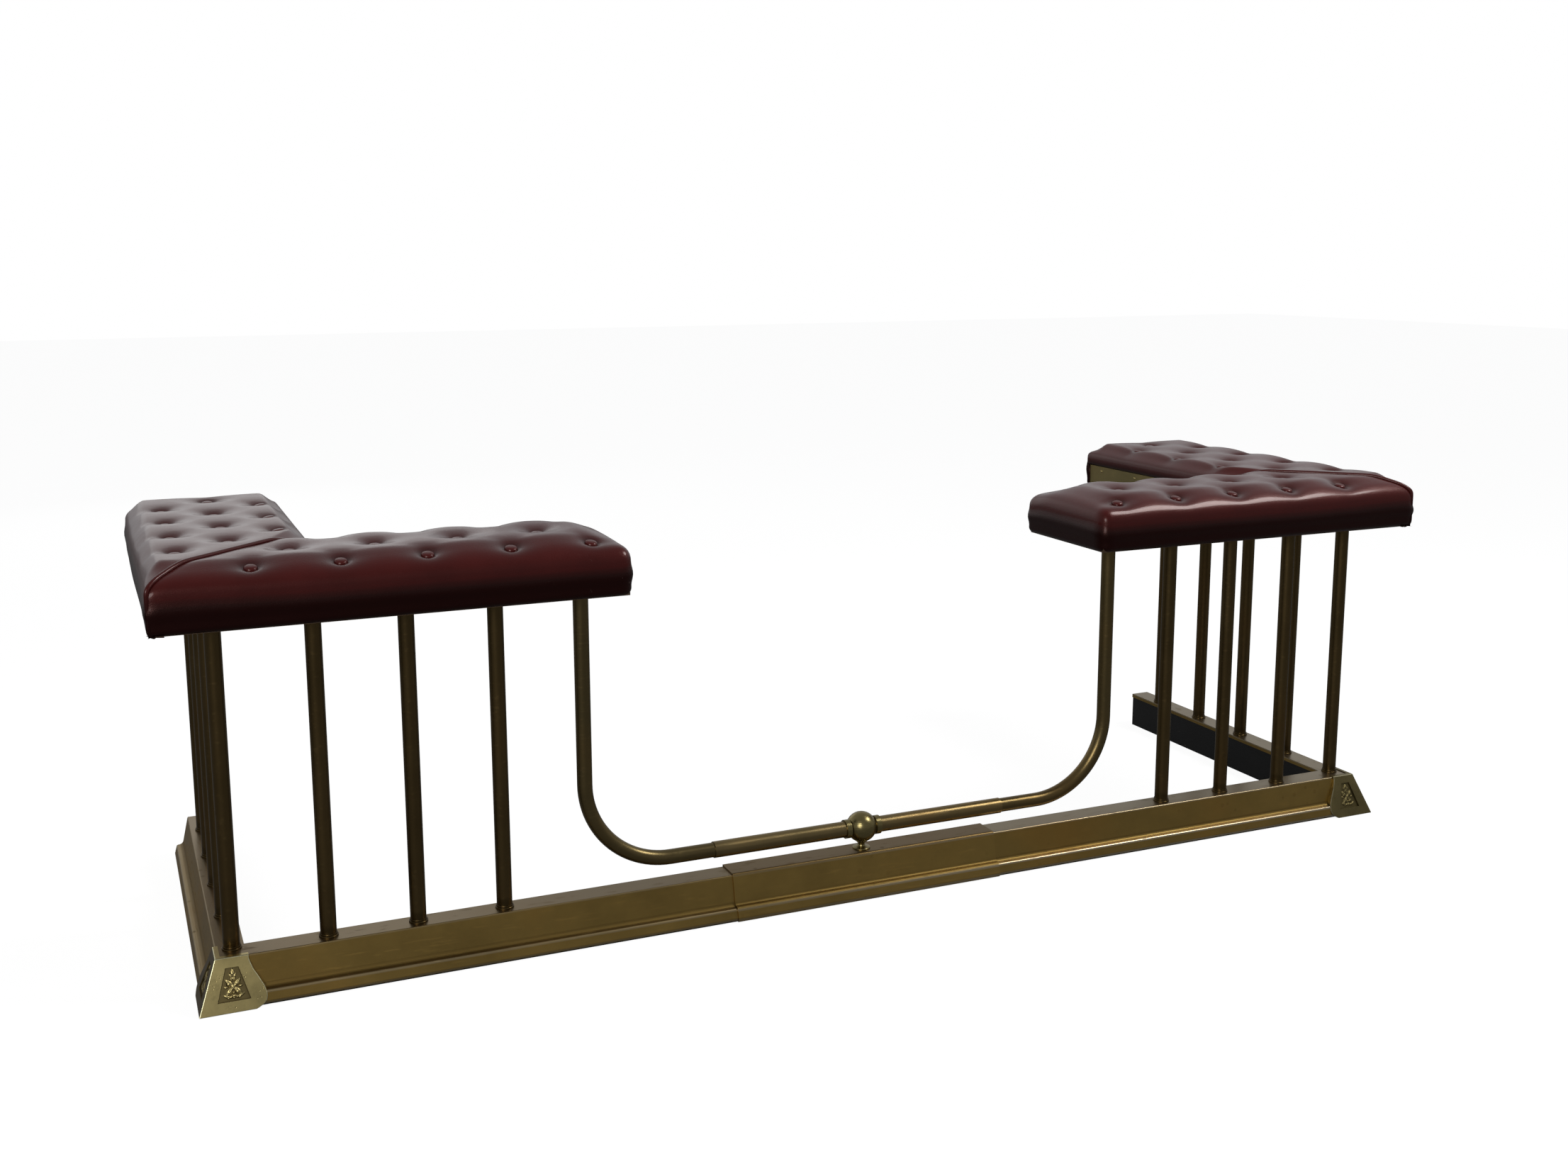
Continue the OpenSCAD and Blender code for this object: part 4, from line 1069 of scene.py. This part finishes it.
class FENDER_OT_stage(bpy.types.Operator):
    """Set the floor, the lights and the camera"""

    bl_idname = "fender.stage"
    bl_label = "Floor, light and camera"

    def execute(self, context):
        stage = context.scene.fender_stage
        scene = context.scene
        scene.view_settings.view_transform = "Standard"
        self.world(scene, stage.light)
        self.floor()
        for lamp in LAMPS:
            self.lamp(*lamp)
        self.camera(scene, stage.lens)
        return {"FINISHED"}

    def world(self, scene, strength):
        """Pale all round for the camera; for the light itself a dim floor, bright walls and a grey ceiling"""
        world = bpy.data.worlds.new("studio")
        world.use_nodes = True
        scene.world = world
        world.node_tree.nodes.clear()
        g = Graph(world.node_tree)
        place = g.node("ShaderNodeTexCoord", out="Generated")
        y = g.node("ShaderNodeSeparateXYZ", {}, {0: place}, out="Y")
        up = g.node("ShaderNodeMapRange", {}, {"Value": y.output("Z"), "From Min": -1})
        stops = [(at, scaled(ROOM_TINT, grey)) for at, grey in ROOM]
        room = g.node("ShaderNodeValToRGB", {"stops": stops}, {"Fac": up})
        back = g.node("ShaderNodeMapRange", {}, {"Value": y, "From Min": -0.6, "From Max": 0.6,
                                                 "To Min": strength * 0.4, "To Max": strength * 1.5})
        plain = g.node("ShaderNodeBackground", {}, {"Color": room, "Strength": back})
        white = g.node("ShaderNodeBackground", {}, {"Color": (1, 1, 1)})
        mix = g.node("ShaderNodeMixShader", {}, {"Fac": g.background_share(0.15), 1: plain, 2: white})
        g.node("ShaderNodeOutputWorld", {}, {"Surface": mix})

    def floor(self):
        """White to the camera, with the fender's shadow, and dark to the light that bounces"""
        mesh = bpy.data.meshes.new("studio_floor")
        mesh.from_pydata([(x, y, FLOOR_Z) for x, y in ((-14, -9), (14, -9), (14, 16), (-14, 16))], [],
                         [(0, 1, 2, 3)])
        piece = placed_in_scene("studio_floor", mesh)
        material = bpy.data.materials.new("studio_floor_white")
        material.use_nodes = True
        mesh.materials.append(material)
        g = Graph(material.node_tree)
        dark = g.tree.nodes["Principled BSDF"]
        g.feed(dark.inputs["Base Color"], (0.08, 0.08, 0.08))
        g.feed(dark.inputs["Roughness"], 0.9)
        pale = g.node("ShaderNodeBsdfDiffuse", {}, {"Color": (0.9, 0.9, 0.9)})
        glow = g.node("ShaderNodeEmission", {}, {"Strength": 1.22})
        shadowed = g.node("ShaderNodeMixShader", {}, {"Fac": 0.76, 1: pale, 2: glow})
        mix = g.node("ShaderNodeMixShader", {}, {"Fac": g.background_share(0.08),
                                                 1: Value(g, dark.outputs[0]), 2: shadowed})
        g.feed(g.tree.nodes["Material Output"].inputs["Surface"], mix)

    def lamp(self, name, place, target, size, power):
        data = bpy.data.lights.new(name, "AREA")
        data.shape = "DISK"
        data.size = size
        data.energy = power
        data.color = LAMP_COLOUR
        lamp = placed_in_scene(name, data)
        lamp.location = place
        lamp.rotation_euler = (Vector(target) - Vector(place)).to_track_quat("-Z", "Y").to_euler()

    def camera(self, scene, lens):
        data = bpy.data.cameras.new("photo_camera")
        data.sensor_width = 36
        data.lens = lens
        data.shift_x, data.shift_y = (shift / IMAGE_WIDTH for shift in IMAGE_SHIFT)
        data.clip_end = 100
        yaw, pitch, roll = (math.radians(v) for v in CAMERA_TURN)
        ahead = Vector((math.sin(yaw) * math.cos(pitch), math.cos(yaw) * math.cos(pitch), -math.sin(pitch)))
        right = Vector((math.cos(yaw), -math.sin(yaw), 0))
        up = right.cross(ahead)
        right, up = (math.cos(roll) * right + math.sin(roll) * up,
                     math.cos(roll) * up - math.sin(roll) * right)
        pose = Matrix((right, up, -ahead)).transposed().to_4x4()
        pose.translation = Vector(CAMERA_PLACE)
        scene.camera = placed_in_scene("photo_camera", data)
        scene.camera.matrix_world = pose


class FENDER_PT_panel(bpy.types.Panel):
    """Lists the fender's steps and their settings"""

    bl_idname = "FENDER_PT_panel"
    bl_label = "Club fender"
    bl_space_type = "VIEW_3D"
    bl_region_type = "UI"
    bl_category = "Fender"

    def draw(self, context):
        for operator in OPERATORS:
            self.layout.operator(operator.bl_idname)
        for group in (context.scene.fender_seats, context.scene.fender_finishes, context.scene.fender_stage):
            for name in group.__annotations__:
                self.layout.prop(group, name)


SETTINGS = {"fender_seats": SeatSettings, "fender_finishes": FinishSettings, "fender_stage": StageSettings}
OPERATORS = (FENDER_OT_stage, FENDER_OT_finishes, FENDER_OT_seats, FENDER_OT_buttons, FENDER_OT_piping,
             FENDER_OT_castings)


def register():
    for group in (*SETTINGS.values(), *OPERATORS, FENDER_PT_panel):
        bpy.utils.register_class(group)
    for name, group in SETTINGS.items():
        setattr(bpy.types.Scene, name, PointerProperty(type=group))


def unregister():
    for name in SETTINGS:
        delattr(bpy.types.Scene, name)
    for group in reversed((*SETTINGS.values(), *OPERATORS, FENDER_PT_panel)):
        bpy.utils.unregister_class(group)


def main():
    register()
    bpy.ops.fender.stage()
    bpy.ops.fender.finishes()
    bpy.ops.fender.seats()
    bpy.ops.fender.buttons()
    bpy.ops.fender.piping()
    bpy.ops.fender.castings()


if __name__ == "__main__":
    main()
